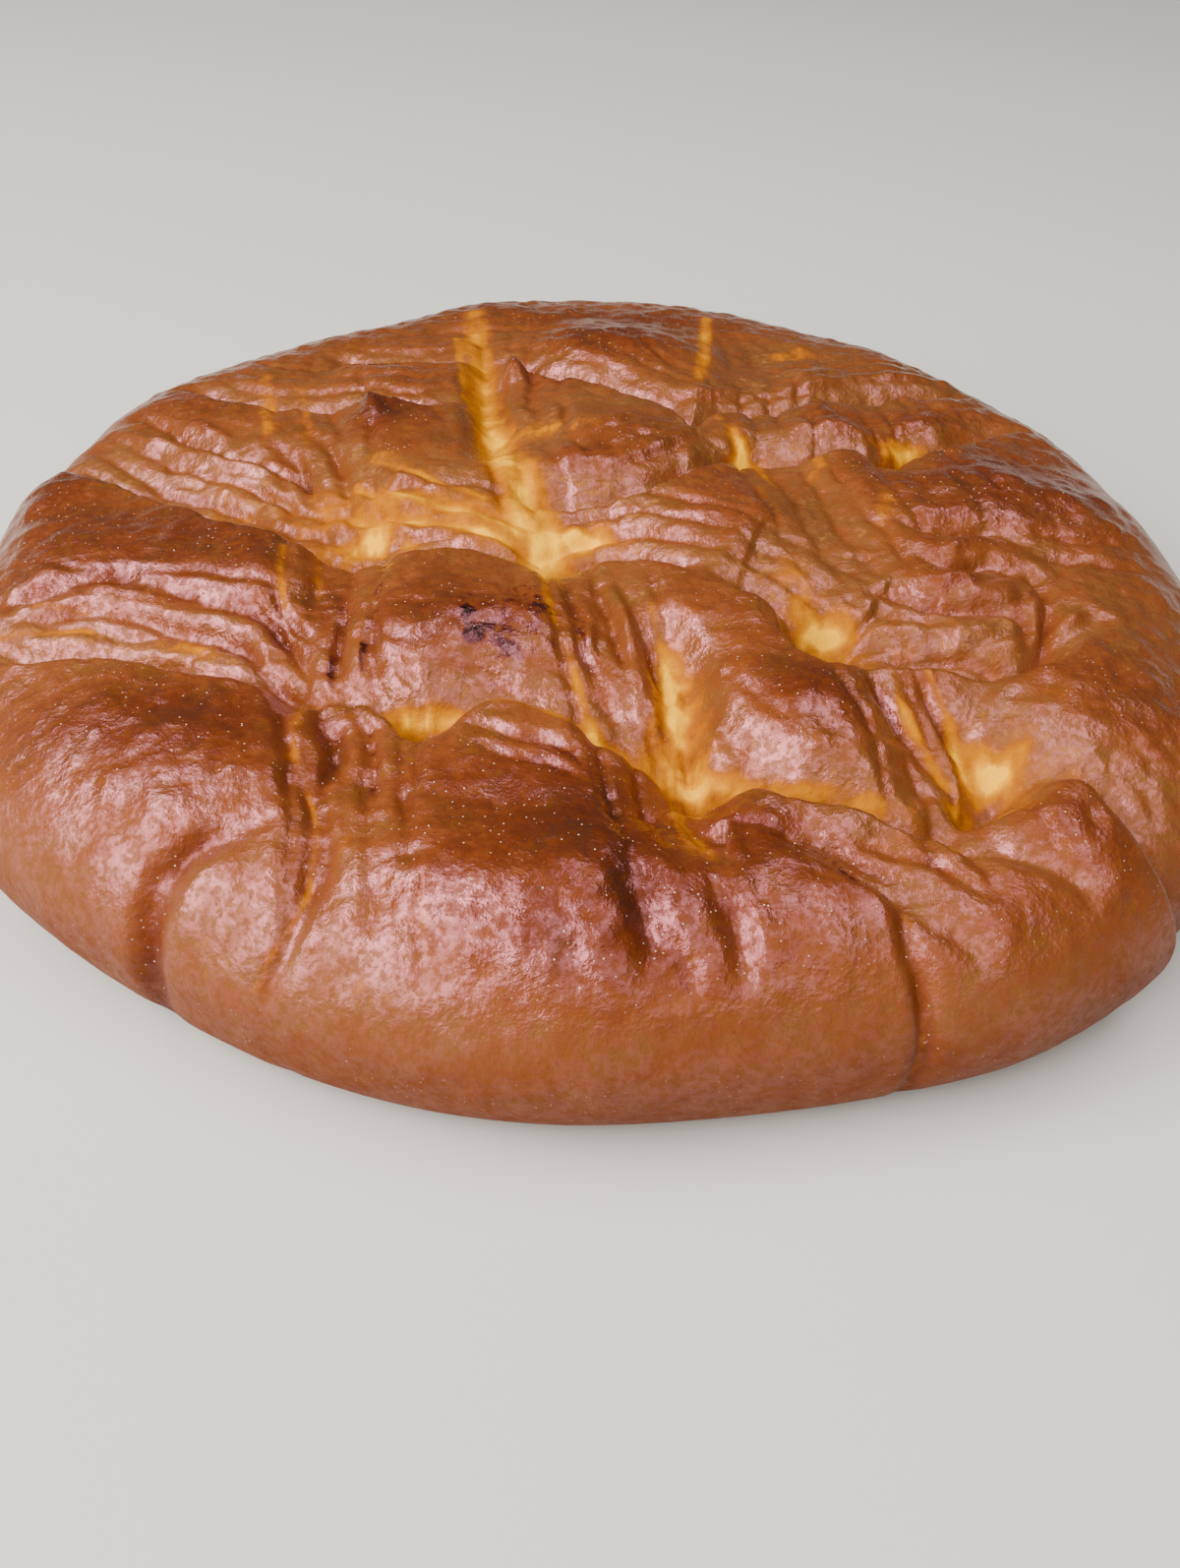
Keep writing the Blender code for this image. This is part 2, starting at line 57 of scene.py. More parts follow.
# %% [markdown]
# ## Two small helpers
#
# Colours are written as sRGB hex values, as a paint chart gives them, and shaders want linear
# light. So one function turns the first into the second. A second function adds a shader node
# with its settings, values and links, so that a material reads as a short list of nodes.

# %% Colour and node helpers
def linear(hex_colour):
    """An sRGB colour such as "#A0522D" as linear red, green, blue and alpha."""
    parts = [int(hex_colour[start:start + 2], 16) / 255 for start in (1, 3, 5)]
    return tuple(((part + 0.055) / 1.055) ** 2.4 if part > 0.04045 else part / 12.92
                 for part in parts) + (1.0,)


def add_node(tree, kind, values=(), links=(), stops=(), **settings):
    """Add a node: settings are its options, values its inputs, links what feeds it, and stops
    the positions and colours of a ramp."""
    node = tree.nodes.new(kind)
    for index, (position, hex_colour) in enumerate(stops):
        elements = node.color_ramp.elements
        stop = elements[index] if index < 2 else elements.new(position)
        stop.position = position
        stop.color = linear(hex_colour)
    for name, setting in settings.items():
        setattr(node, name, setting)
    for socket, value in dict(values).items():
        node.inputs[socket].default_value = value
    for socket, source in dict(links).items():
        tree.links.new(source, node.inputs[socket])
    return node


print("chestnut brown in linear light:", [round(part, 3) for part in linear("#9A5527")])

# %% [markdown]
# ## The plain loaf
#
# Before its folds, the loaf is a low dome: a gently rising top, a rounded shoulder, a belt where
# it is widest, and a curve that tucks under to the board. One outline in radius and height says
# all of that. It is then stretched to the radius that the hand-shaped belt has in each
# direction, because no baker's round is a true circle.

# %% The plain loaf's outline
CROWN_HEIGHT = 43.0
BELT_HEIGHT = 16.0
BELT_RADIUS = 115.0
SHOULDER_WIDTH = 32.0
DOME_RISE = 7.0
TUCK_WIDTH = 16.0
TUCK_DROP = 18.5
DOME_STEPS = 60
SHOULDER_STEPS = 60
TUCK_STEPS = 40
# The belt's radius at equal steps round the loaf, anticlockwise from +X.
BELT_RADII = (110, 110, 111, 113, 114, 111, 110, 114, 111, 119, 117, 117, 115, 118, 120, 116)


def belt_radius(angle):
    """The belt's radius at an angle, as a smooth closed curve through BELT_RADII."""
    shares = np.fft.rfft(BELT_RADII) / len(BELT_RADII)
    radius = np.full(angle.shape, shares[0].real)
    for turns, share in enumerate(shares[1:-1], start=1):
        radius += 2 * (share.real * np.cos(turns * angle) - share.imag * np.sin(turns * angle))
    return radius


def plain_profile():
    """The plain loaf's outline from its crown to below its foot, as rows of radius and height."""
    dome_edge = BELT_RADIUS - SHOULDER_WIDTH
    shoulder_height = CROWN_HEIGHT - DOME_RISE
    radius = np.linspace(0.0, dome_edge, DOME_STEPS, endpoint=False)
    dome = np.column_stack([radius, CROWN_HEIGHT - DOME_RISE * (radius / dome_edge) ** 2])
    turn = np.linspace(0.0, np.pi / 2, SHOULDER_STEPS, endpoint=False)
    shoulder = np.column_stack([dome_edge + SHOULDER_WIDTH * np.sin(turn),
                                BELT_HEIGHT + (shoulder_height - BELT_HEIGHT) * np.cos(turn)])
    turn = np.linspace(0.0, np.pi / 2, TUCK_STEPS)
    tuck = np.column_stack([BELT_RADIUS - TUCK_WIDTH * (1 - np.cos(turn)),
                            BELT_HEIGHT - TUCK_DROP * np.sin(turn)])
    return np.vstack([dome, shoulder, tuck])


print("points on the outline:", len(plain_profile()))

# %% [markdown]
# ## Measuring from lines
#
# Almost everything on this crust follows a line: the crest of a torn fold, the stroke of a fork,
# a crease in the side. So the crust is built from one measurement, which asks how far each point
# lies across a line, how far along it, and how strong the line is there. It runs on whole arrays
# of points at once, which is what makes a surface this fine quick to shape.

# %% Noise and line measurements
def ease(share):
    """A smooth step from 0 to 1."""
    share = np.clip(share, 0.0, 1.0)
    return share * share * (3.0 - 2.0 * share)


def waves(x, y, cell, seed):
    """Smooth random heights between -1 and 1, with one value for each cell of the plan. A cell
    is in millimetres, and each seed gives a pattern of its own."""
    size = 64
    table = np.random.default_rng(seed).uniform(-1.0, 1.0, (size, size))
    column = np.floor(x / cell).astype(int)
    row = np.floor(y / cell).astype(int)
    along = ease(x / cell - column)
    up = ease(y / cell - row)
    near, far = [table[side % size, column % size] * (1 - along)
                 + table[side % size, (column + 1) % size] * along for side in (row, row + 1)]
    return near * (1 - up) + far * up


def smooth_line(points, steps=5):
    """A rounded line (Catmull-Rom) through points of x, y and value."""
    points = np.array(points, dtype=float)
    ends = np.vstack([2 * points[0] - points[1], points, 2 * points[-1] - points[-2]])
    share = np.linspace(0.0, 1.0, steps, endpoint=False)[:, None]
    spans = []
    for before, start, end, after in zip(ends, ends[1:], ends[2:], ends[3:]):
        spans.append(0.5 * (2 * start + (end - before) * share
                            + (2 * before - 5 * start + 4 * end - after) * share ** 2
                            + (3 * start - before - 3 * end + after) * share ** 3))
    return np.vstack(spans + [points[-1:]])


def measure_line(points, x, y):
    """Distance across a line (positive on its left), distance along it, and its value there."""
    line = smooth_line(points)
    nearest = np.full(x.shape, np.inf)
    across = np.zeros(x.shape)
    along = np.zeros(x.shape)
    value = np.zeros(x.shape)
    travelled = 0.0
    for start, end in zip(line, line[1:]):
        run = end - start
        length = np.hypot(run[0], run[1])
        share = np.clip(((x - start[0]) * run[0] + (y - start[1]) * run[1]) / length ** 2, 0, 1)
        away_x = x - start[0] - share * run[0]
        away_y = y - start[1] - share * run[1]
        distance = np.hypot(away_x, away_y)
        side = np.where(run[0] * away_y - run[1] * away_x >= 0, 1.0, -1.0)
        closer = distance < nearest
        nearest = np.where(closer, distance, nearest)
        across = np.where(closer, side * distance, across)
        along = np.where(closer, travelled + share * length, along)
        value = np.where(closer, start[2] + share * run[2], value)
        travelled += length
    return across, along, np.maximum(value, 0.0)


def ridge(across, half_width):
    """A rounded bump over a line."""
    return np.exp(-(across / half_width) ** 2)


def patches(spots, x, y):
    """Soft patches, each of x, y, half length, half width, turn in degrees and strength."""
    total = np.zeros(x.shape)
    for centre_x, centre_y, half_length, half_width, turn, strength in spots:
        turn = np.radians(turn)
        along = (x - centre_x) * np.cos(turn) + (y - centre_y) * np.sin(turn)
        across = (y - centre_y) * np.cos(turn) - (x - centre_x) * np.sin(turn)
        total += strength * np.exp(-(along / half_length) ** 2 - (across / half_width) ** 2)
    return total


print("a step eased half way:", float(ease(0.5)))

# %% [markdown]
# ## Folds, fork bands and funnels
#
# The baker draws a fork across the egg-washed dough, four tines at a time, first one way and then
# the other. In the oven the dough swells between the strokes and the scored bands stay low, so
# the top becomes a quilt of pillows. Behind each pillow the crust drops steeply and then climbs
# back, which is why a fold is described by the line of its crest, with the fall on its left.

# %% The large folds
Fold = namedtuple("Fold", "wall rise marks line")
FOLDS = {
    "left_back": Fold(4.5, 30, 1.0, (
        (-107, 15, 0), (-97, 7, 4.5), (-87, -0.5, 6.5), (-72, -10.5, 8), (-60, -18, 8.5),
        (-52, -22, 8), (-46, -25, 7), (-38, -27, 6), (-26, -26, 5.5), (-16, -28.5, 6.5),
        (-10, -32, 7.5), (-5, -28, 6), (1, -27, 5), (8, -30, 3), (16, -33, 1.5), (22, -35, 0))),
    "left_front": Fold(4.0, 15, 0.4, (
        (-104, -45, 1.5), (-93, -50, 5.5), (-75, -52, 6.5), (-58, -57, 5.5), (-52, -59, 5),
        (-47, -64, 5.5), (-41, -62, 4), (-36, -62, 4.5), (-32, -66, 6.5), (-27, -71, 7),
        (-22, -69, 6), (-16, -63, 5), (-9, -65, 5.5), (-2, -70, 7), (3, -72, 6), (8, -74, 4.5),
        (12, -80, 3), (15, -85, 0))),
    "middle_right": Fold(4.0, 9.5, 0.0, (
        (13, -80, 4), (18, -78.5, 8), (23, -77.5, 8), (28, -79.5, 7), (36, -80.5, 6),
        (44, -83.5, 6), (50, -86, 6.5), (56, -87, 4), (61, -90, 2), (66, -94, 0))),
    "far_right": Fold(4.5, 27, 0.4, (
        (14, -33, 0), (20, -36, 3), (25, -38, 5.5), (29, -44, 8), (33, -48, 9),
        (39, -50.5, 9), (46, -51, 8), (54, -51.5, 8), (61, -51, 7.5), (67, -48, 6.5),
        (73, -44, 5), (80, -38, 2.5), (88, -32, 0))),
    "right_front": Fold(5.0, 22, 0.0, (
        (50, -77, 2), (54, -79, 6), (58, -79, 7), (62, -75.5, 7), (66, -72.5, 6.5),
        (70, -73.5, 6.5), (75, -79, 6), (80, -84, 4.5), (85, -89, 2), (92, -94, 0))),
    "back_left": Fold(4.0, 9, 0.5, (
        (-92, 44, 0), (-80, 36, 4.5), (-66, 31, 5.5), (-54, 30, 4), (-44, 27, 5), (-36, 25, 4.5),
        (-28, 27, 2), (-22, 29, 0))),
    "back_middle": Fold(3.5, 9, 0.4, (
        (-20, -4, 0), (-13, -9, 4.5), (-6, -10, 6), (1, -9, 6), (8, -7, 5.5), (14, -3, 5.5),
        (20, 2, 4.5), (24, 8, 2), (27, 14, 0))),
    "back_right": Fold(3.5, 8.5, 0.4, (
        (20, 3, 0), (24, 8, 5), (30, 12, 7), (36, 12.5, 7), (44, 14, 7), (53, 11, 7.5),
        (58, 17, 7), (65, 23, 6.5), (71, 26, 5.5), (78, 32, 4), (88, 38, 0))),
    "far_back": Fold(4.0, 8.5, 0.4, (
        (-64, 58, 0), (-50, 52, 4), (-36, 50, 4.5), (-26, 54, 3), (-20, 52, 4.5),
        (-14, 47, 6.5), (-7, 42, 7), (1, 36, 7), (8, 31, 6.5), (13, 26, 6), (16, 22, 5.5),
        (20, 27, 6.5), (27, 31, 7), (35, 33, 7), (44, 38, 7), (52, 42, 7), (61, 47, 6.5),
        (68, 50, 5.5), (74, 52, 4), (84, 57, 0))),
    "front_right_lip": Fold(3.0, 14, 0.0, (
        (24, -87, 0), (30, -91, 2.5), (38, -95, 3.5), (42, -97, 3), (46, -99, 1.5),
        (52, -102, 0))),
    "middle_pillow_side": Fold(6.0, 9, 0.0, (
        (20, -79, 3), (20.5, -70, 5), (20, -60, 6), (17.5, -50, 5), (14, -42, 3), (11, -35, 0))),
    "right_pillow_side": Fold(3.5, 9, 0.0, (
        (67, -72, 0), (62, -68, 3.5), (61, -62, 4.5), (63, -56, 2.5), (67, -51, 0))),
    "blister_side": Fold(8.0, 6, 0.0, (
        (-15, 0, 0), (-14, 12, 3), (-15, 28, 4.5), (-17, 42, 4.5), (-19, 58, 4), (-22, 76, 0))),
}
MARK_OFFSETS = (5.5, 10.5, 16.0, 22.0)     # the fork's lines behind a fold's crest
MARK_DEPTH = 1.3
MARK_HALF_WIDTH = 1.0
MARK_SWAY = 0.9                            # how far those lines stray from the crest's line
MARKED_FOLD = 3.0                          # a fold this deep is marked at full depth
CLIMB_POWER = 1.35
print(len(FOLDS), "folds")

# %% Fork bands, funnels and pillows
Band = namedtuple("Band", "marks line")
BAND_HALF_WIDTH = 12.5
BANDS = {
    "left": Band(1.0, (
        (-60, 66, 0), (-57, 40, 1.5), (-53, 15, 1.5), (-49, -5, 2), (-45, -22, 2.5),
        (-44, -42, 2.5), (-42, -53, 2.5), (-39, -64, 2.5), (-36, -75, 2), (-33, -88, 1.2),
        (-32, -104, 0))),
    "centre": Band(1.0, (
        (-20, 78, 0), (-19, 55, 2), (-17, 30, 2), (-11, 2, 2.5), (-5, -20, 3), (0, -38, 2.5),
        (2, -50, 3), (5, -62, 3.5), (8, -72, 3), (12, -84, 1.5), (16, -98, 0))),
    "right": Band(0.8, (
        (26, 76, 0), (29, 50, 2), (31, 25, 2), (34, 5, 2.5), (39, -12, 2.5), (43, -26, 2),
        (44, -38, 0.6), (45, -50, 1), (47, -57, 3), (50, -68, 4), (54, -80, 3), (58, -92, 0))),
    "far_right": Band(0.6, (
        (46, 72, 0), (52, 45, 1.2), (57, 22, 2), (62, 0, 1.2), (65, -16, 0))),
}
TINES = 4
TINE_PITCH = 5.6
TINE_DEPTH = 1.1
TINE_HALF_WIDTH = 1.0
TINED_BAND = 2.0                           # a band this deep has its grooves at full depth
# Where two bands cross, the dough stays lowest: x, y, radius and depth of each funnel.
FUNNELS = ((-26, -63, 6, 2.5), (-42, -22, 8, 2), (-9, -24, 7, 2.5), (15, -66, 9, 4),
           (14, -50, 6, 2), (36, -42, 7, 3.5), (51, -79, 4, 2.5), (59, -70, 6, 3),
           (41, -84, 4, 1.5), (28, 9, 7, 2), (-23, 16, 7, 2), (54, 14, 5, 2),
           (17, 24, 5, 2))
# Pillows that stand a little proud: x, y, half length, half width and height.
PILLOWS = ((-76, -22, 26, 14, 2), (-101, 2, 10, 13, 4), (-19, 49, 5, 5, 3.5),
           (-26, -46, 13, 12, 3), (29, -61, 16, 9, 1.8), (-66, -74, 26, 14, 2),
           (-6, -97, 26, 10, 3), (70, -62, 11, 12, 3),
           (44, -98, 24, 10, 1.5), (84, -58, 16, 22, 1), (-80, 32, 16, 10, 1.2),
           (2, 20, 11, 8, 1.8), (72, 5, 20, 10, 4), (0, 62, 15, 10, 2), (-56, -30, 8, 7, 1.2),
           (-41, 26, 7, 10, 1.5), (-7, 4, 6, 5, 3), (14, -14, 9, 7, 1.5), (40, 24, 8, 5, 1.5),
           (56, 54, 16, 7, 1.5), (66, -80, 12, 7, 1.5))
print(len(BANDS), "fork bands,", len(FUNNELS), "funnels,", len(PILLOWS), "pillows")

# %% [markdown]
# ## Creases and pleats
#
# Where the dough was pinched it creases into grooves, and between the fork's strokes it stands up
# in pleats. Both could be carved one by one, but they are all the same thing, a single stroke that
# cuts in or stands out, so one list of lines holds each kind.

# %% Creases and pleats
# A stroke is one line with a half width and a strength at each of its points. As a groove, its
# strength is a depth in millimetres.
Stroke = namedtuple("Stroke", "half_width line")
GROOVES = (
    # creases in the side
    Stroke(2.4, ((-44, -85, 0), (-50, -87, 1.6), (-56, -89, 2.2), (-60, -93, 2.4),
                 (-62, -98, 2.4), (-62, -108, 0))),
    Stroke(2.0, ((-44, -70, 0), (-42, -76, 1.2), (-39, -84, 1.6), (-38, -92, 1.6),
                 (-39, -100, 1.6), (-44, -108, 0))),
    Stroke(2.4, ((-36, -88, 0), (-36, -95, 1.2), (-35, -102, 0))),
    Stroke(2.5, ((-28, -92, 0), (-27, -98, 1.0), (-27, -105, 0))),
    Stroke(2.8, ((-21, -93, 0), (-21, -101, 1.2), (-20, -110, 0))),
    Stroke(2.6, ((-3, -98, 0), (-2, -104, 1.0), (-2, -110, 0))),
    Stroke(2.6, ((4, -90, 0), (6, -96, 2.2), (9, -103, 2.2), (11, -111, 0))),
    Stroke(2.2, ((15, -93, 0), (18, -99, 1.8), (20, -105, 1.2), (21, -110, 0))),
    Stroke(1.5, ((11, -102, 0), (13, -107, 1.0), (14, -111, 0))),
    Stroke(1.4, ((41, -93, 0), (42, -97, 2.0), (44, -102, 1.8), (45, -106, 1.4),
                 (47, -112, 0))),
    Stroke(1.3, ((42, -95, 0), (46, -98, 1.2), (52, -100, 0))),
    Stroke(1.5, ((69, -20, 0), (70, -32, 1.2), (70, -42, 0))),
    # the hollow in front of the left pillow and the wrinkles under it
    Stroke(1.9, ((-106, -34, 0), (-98, -34.5, 1.8), (-88, -33, 2), (-80, -32, 2),
                 (-72, -33.5, 1.8), (-65, -36, 1.7), (-57, -40, 1.4), (-50, -46, 0.8),
                 (-46, -52, 0))),
    Stroke(1.2, ((-98, -39, 0), (-88, -38.5, 1.3), (-77, -38.5, 1.5), (-69, -41, 1.4),
                 (-60, -45, 0.8), (-56, -48, 0))),
    Stroke(1.2, ((-68, -41, 0), (-58, -45.5, 1.5), (-53, -51, 1.7), (-48.5, -55.5, 1.4),
                 (-43, -57, 0))),
    Stroke(1.1, ((-61, -34, 0), (-54.5, -41.5, 1.5), (-49, -47.5, 1.5), (-45.5, -53, 0))),
    Stroke(1.0, ((-56, -33, 0), (-51, -41, 1.3), (-46, -46.5, 0))),
    # tines that pressed hardest
    Stroke(1.2, ((-44, -32, 0), (-41, -39, 1.2), (-40, -47, 1.4), (-39, -54, 0))),
    Stroke(1.2, ((-37, -32, 0), (-35, -41, 1.3), (-33, -49, 1.4), (-33, -58, 0))),
    Stroke(2.2, ((-42, -62, 0), (-40, -68, 1.8), (-38, -75, 1.6), (-36, -82, 0))),
    Stroke(1.0, ((-35, -65, 0), (-32, -74, 1.2), (-29, -84, 0))),
    Stroke(1.0, ((-27, -68, 0), (-25, -75, 1.0), (-24, -81, 0))),
    Stroke(0.9, ((-20, -67, 0), (-14, -68, 1.2), (-8, -71, 1.3), (-2, -76, 0))),
    Stroke(0.9, ((-18, -71, 0), (-12, -73, 1.2), (-6, -76, 1.0), (-1, -79, 0))),
    Stroke(1.0, ((-23, -54, 0), (-17, -55, 1.1), (-11, -58, 0))),
    Stroke(1.3, ((-8, -26, 0), (-5, -40, 1.8), (-3, -50, 1.8), (1, -62, 0))),
    Stroke(1.1, ((-4, -24, 0), (-1, -38, 1.4), (2, -48, 1.2), (4, -54, 0))),
    Stroke(1.3, ((4, -38, 0), (8, -50, 1.8), (10, -59, 1.8), (12, -67, 0))),
    # pleats of the squeezed dough, right of the middle
    Stroke(1.2, ((42, -29, 0), (48, -30.5, 1.4), (57, -31, 1.5), (66, -29, 1.3), (73, -33, 0))),
    Stroke(1.2, ((43, -41, 0), (50, -43, 1.3), (58, -41, 1.5), (66, -42, 1.2), (72, -44, 0))),
    Stroke(1.2, ((48, -19, 0), (58, -21, 1.4), (65, -19, 1.5), (74, -20, 0))),
    Stroke(1.3, ((50, -10, 0), (60, -11, 1.5), (68, -9, 1.4), (76, -12, 0))),
    Stroke(1.4, ((42, -46, 0), (45, -57, 1.8), (49, -65, 1.6), (55, -72, 0))),
    Stroke(1.3, ((50, -48, 0), (53, -57, 1.8), (57, -63, 1.6), (60, -69, 0))),
    # the round crease that bounds them, and wrinkles beyond it
    Stroke(1.5, ((58, -51, 0), (66, -47, 1.8), (72, -40, 2.4), (74, -32, 2.2), (74, -24, 1.4),
                 (71, -15, 0))),
    Stroke(1.3, ((66, -14, 0), (84, -13, 1.2), (99, -11, 0))),
    Stroke(1.2, ((70, -8, 0), (86, -6, 1.0), (100, -3, 0))),
    # strokes of the fork behind the left pillow and beside the far blister
    Stroke(1.4, ((-64, 18, 0), (-60, 13, 1.6), (-56.5, 7.5, 1.9), (-55, 2.5, 1.7),
                 (-54, -2, 0))),
    Stroke(1.3, ((-57, 20, 0), (-52, 12, 1.4), (-49, 4, 1.4), (-47, -2, 0))),
    Stroke(1.5, ((-19, 67, 0), (-16.5, 51, 1.6), (-13, 39, 0))),
    # wrinkles of the right front pillow
    Stroke(1.1, ((27, -85, 0), (36, -88, 1.0), (46, -93, 0))),
    Stroke(1.1, ((36, -85, 0), (46, -88, 1.0), (58, -94, 0))),
    Stroke(1.0, ((18, -82, 0), (24, -84, 1.0), (31, -88, 0))),
)
# Pleats stand up between the strokes. Their strength is a height in millimetres.
PLEATS = (
    Stroke(1.7, ((-97, 27, 0), (-87, 22, 1.3), (-78, 17, 1.5), (-69, 11.5, 1.3), (-60, 7, 0))),
    Stroke(1.8, ((-86, 29, 0), (-77, 23.5, 1.5), (-70, 19, 0))),
    Stroke(1.7, ((-82, 14, 0), (-69, 7.5, 1.4), (-62, 3, 0))),
    Stroke(1.3, ((-47, 0, 0), (-40, -6, 1.2), (-32, -9, 1.3), (-24, -11.5, 1.2), (-15, -15, 0))),
    Stroke(1.2, ((-48, -7, 0), (-41, -12, 1.1), (-33, -14, 1.2), (-25, -15.5, 1.1),
                 (-16, -19, 0))),
    Stroke(1.3, ((-43, 4, 0), (-36, -1, 1.2), (-29, -5, 1.2), (-21, -9, 0))),
    Stroke(1.5, ((-62, 40, 0), (-58, 28, 1.0), (-55, 17, 0))),
    Stroke(1.6, ((-47, 38, 0), (-45, 28, 1.2), (-43, 18, 0))),
    Stroke(1.5, ((75, -32, 0), (78, -30, 1.6), (81, -28, 0))),
    Stroke(1.3, ((-98, -42, 0), (-87, -43, 0.9), (-77, -43.5, 1.0), (-67, -47, 1.0),
                 (-57, -51.5, 0))),
    Stroke(1.4, ((0, -32, 0), (2, -39, 1.5), (4, -47, 1.6), (6, -55, 1.3), (7, -60, 0))),
    Stroke(1.2, ((-6, -34, 0), (-4, -42, 1.2), (-2, -50, 1.3), (1, -57, 0))),
    Stroke(3.2, ((43, -35, 0), (52, -37, 1.5), (62, -36, 1.7), (71, -38, 0))),
    Stroke(2.8, ((45, -25, 0), (54, -26, 1.4), (63, -25, 1.6), (73, -26, 0))),
    Stroke(2.6, ((48, -15, 0), (57, -16, 1.3), (66, -14, 1.4), (76, -16, 0))),
    Stroke(2.8, ((48, -5, 0), (58, -6, 1.3), (67, -4, 1.4), (77, -6, 0))),
)
print(len(GROOVES), "creases and", len(PLEATS), "pleats")

# %% Unevenness of the hand and the dough
# Slow unevenness of the dough, as wavelength, height and seed.
UNEVENNESS = ((34.0, 1.1, 5), (15.0, 0.5, 6))
# How the hand strays from every line, as wavelength and distance.
STRAYS = ((17.0, 1.6), (6.0, 0.6))
STROKE_BREAKS = 0.25                       # how much grooves and pleats fade in and out
CROSSING_SHARE = 0.8                       # 0 joins a fold and a band least, 2 is a plain sum
print("the hand strays by up to", sum(distance for _, distance in STRAYS), "mm")

# %% [markdown]
# ## Adding up the relief
#
# Depths of the same kind are joined so that the deepest wins with a rounded meeting. The two
# kinds are then added as two sides of a triangle give the third, which is less than their sum:
# simply summing them would dig holes twice too deep wherever a fold and a band cross. The same
# functions also return what the colouring needs later: how far each point lies inside a fold,
# and how hard the fork pressed.

# %% Folds and bands as depths
def fold_depth(fold, x, y):
    """A fold drops steeply behind its crest and climbs back slowly, marked by the fork."""
    across, along, depth = measure_line(fold.line, x, y)
    wall = ease(across / fold.wall)
    climb = np.clip(1.0 - (across - fold.wall) / fold.rise, 0.0, 1.0) ** CLIMB_POWER
    fall = depth * np.where(across < fold.wall, wall, climb)
    uneven = 0.8 + 0.5 * waves(along, across, 11.0, 21)
    pressed = fold.marks * MARK_DEPTH * uneven * np.clip(depth / MARKED_FOLD, 0.0, 1.0)
    sway = across + MARK_SWAY * waves(along, 0.3 * across, 9.0, 24)
    tine = sum(ridge(sway - offset, MARK_HALF_WIDTH) for offset in MARK_OFFSETS)
    wrinkle = fall * waves(along, 4.0 * across, 9.0, 22)
    return fall + pressed * tine, pressed * tine, wrinkle


def band_depth(band, x, y):
    """A fork band is a shallow trough with one groove for each tine."""
    across, along, depth = measure_line(band.line, x, y)
    share = np.clip(np.abs(across) / BAND_HALF_WIDTH, 0.0, 1.0)
    trough = depth * (1.0 - share ** 2) ** 2
    uneven = 0.55 + 0.65 * waves(along, across, 9.0, 23)
    pressed = band.marks * TINE_DEPTH * uneven * np.clip(depth / TINED_BAND, 0.0, 1.0)
    offsets = [(tine - (TINES - 1) / 2) * TINE_PITCH for tine in range(TINES)]
    tine = sum(ridge(across - offset, TINE_HALF_WIDTH) for offset in offsets)
    return trough + pressed * tine, pressed * tine


# %% Strokes, and how depths join
def stroke_strength(stroke, x, y, breaks=0.0):
    """How strong a stroke is at each point; breaks fade it in and out along its line."""
    strength = np.zeros(x.shape)
    reach = 3.0 * stroke.half_width
    low_x, low_y = (min(place[side] for place in stroke.line) - reach for side in (0, 1))
    high_x, high_y = (max(place[side] for place in stroke.line) + reach for side in (0, 1))
    near = (x > low_x) & (x < high_x) & (y > low_y) & (y < high_y)
    across, along, most = measure_line(stroke.line, x[near], y[near])
    fade = 1.0 + breaks * waves(along, across, 3.0, 27)
    strength[near] = np.maximum(most * fade, 0.0) * ridge(across, stroke.half_width)
    return strength


def join_depths(depths, sharpness=3.0):
    """The deepest of several, with rounded meetings."""
    total = np.zeros(depths[0].shape)
    for depth in depths:
        total += np.maximum(depth, 0.0) ** sharpness
    return total ** (1.0 / sharpness)


# %% The relief of the crust
Marks = namedtuple("Marks", "height fold band tine dent wrinkle wander_x wander_y")


def strayed(places, x, y, seeds):
    """Places along one axis, moved as the hand strays."""
    for (wavelength, distance), seed in zip(STRAYS, seeds):
        places = places + distance * waves(x, y, wavelength, seed)
    return places


def relief(x, y):
    """How far the crust stands above the plain loaf, with what marked it there."""
    wander_x = strayed(x, x, y, (1, 2))
    wander_y = strayed(y, x, y, (3, 4))
    fold_parts = [fold_depth(fold, wander_x, wander_y) for fold in FOLDS.values()]
    band_parts = [band_depth(band, wander_x, wander_y) for band in BANDS.values()]
    fold = join_depths([part[0] for part in fold_parts])
    band = join_depths([part[0] for part in band_parts])
    tine = join_depths([part[1] for part in fold_parts + band_parts])
    wrinkle = sum(part[2] for part in fold_parts)
    height = -(fold ** 2 + band ** 2 + CROSSING_SHARE * fold * band) ** 0.5
    for centre_x, centre_y, radius, depth in FUNNELS:
        height -= depth * np.exp(-((x - centre_x) ** 2 + (y - centre_y) ** 2) / radius ** 2)
    dent = sum(stroke_strength(groove, wander_x, wander_y, STROKE_BREAKS) for groove in GROOVES)
    height -= dent
    for pleat in PLEATS:
        height += stroke_strength(pleat, wander_x, wander_y, STROKE_BREAKS)
    for centre_x, centre_y, half_length, half_width, rise in PILLOWS:
        spread = ((x - centre_x) / half_length) ** 2 + ((y - centre_y) / half_width) ** 2
        height += rise * np.exp(-spread)
    for wavelength, rise, seed in UNEVENNESS:
        height += rise * waves(x, y, wavelength, seed)
    return Marks(height, fold, band, tine, dent, wrinkle, wander_x, wander_y)


print("deepest fold:", max(place[2] for fold in FOLDS.values() for place in fold.line), "mm")

# %% [markdown]
# ## Fine relief
#
# Baked dough is never smooth. Where it was squeezed it wrinkles along the fold, and everywhere its
# skin is finely uneven, like leather. These forms are a few tenths of a millimetre high and a few
# millimetres long, so they are real geometry; anything finer is left to the bump of the material.

# %% Fine relief
LUMPS = ((4.6, 0.30, 31), (2.2, 0.22, 32))            # wavelength, height and seed
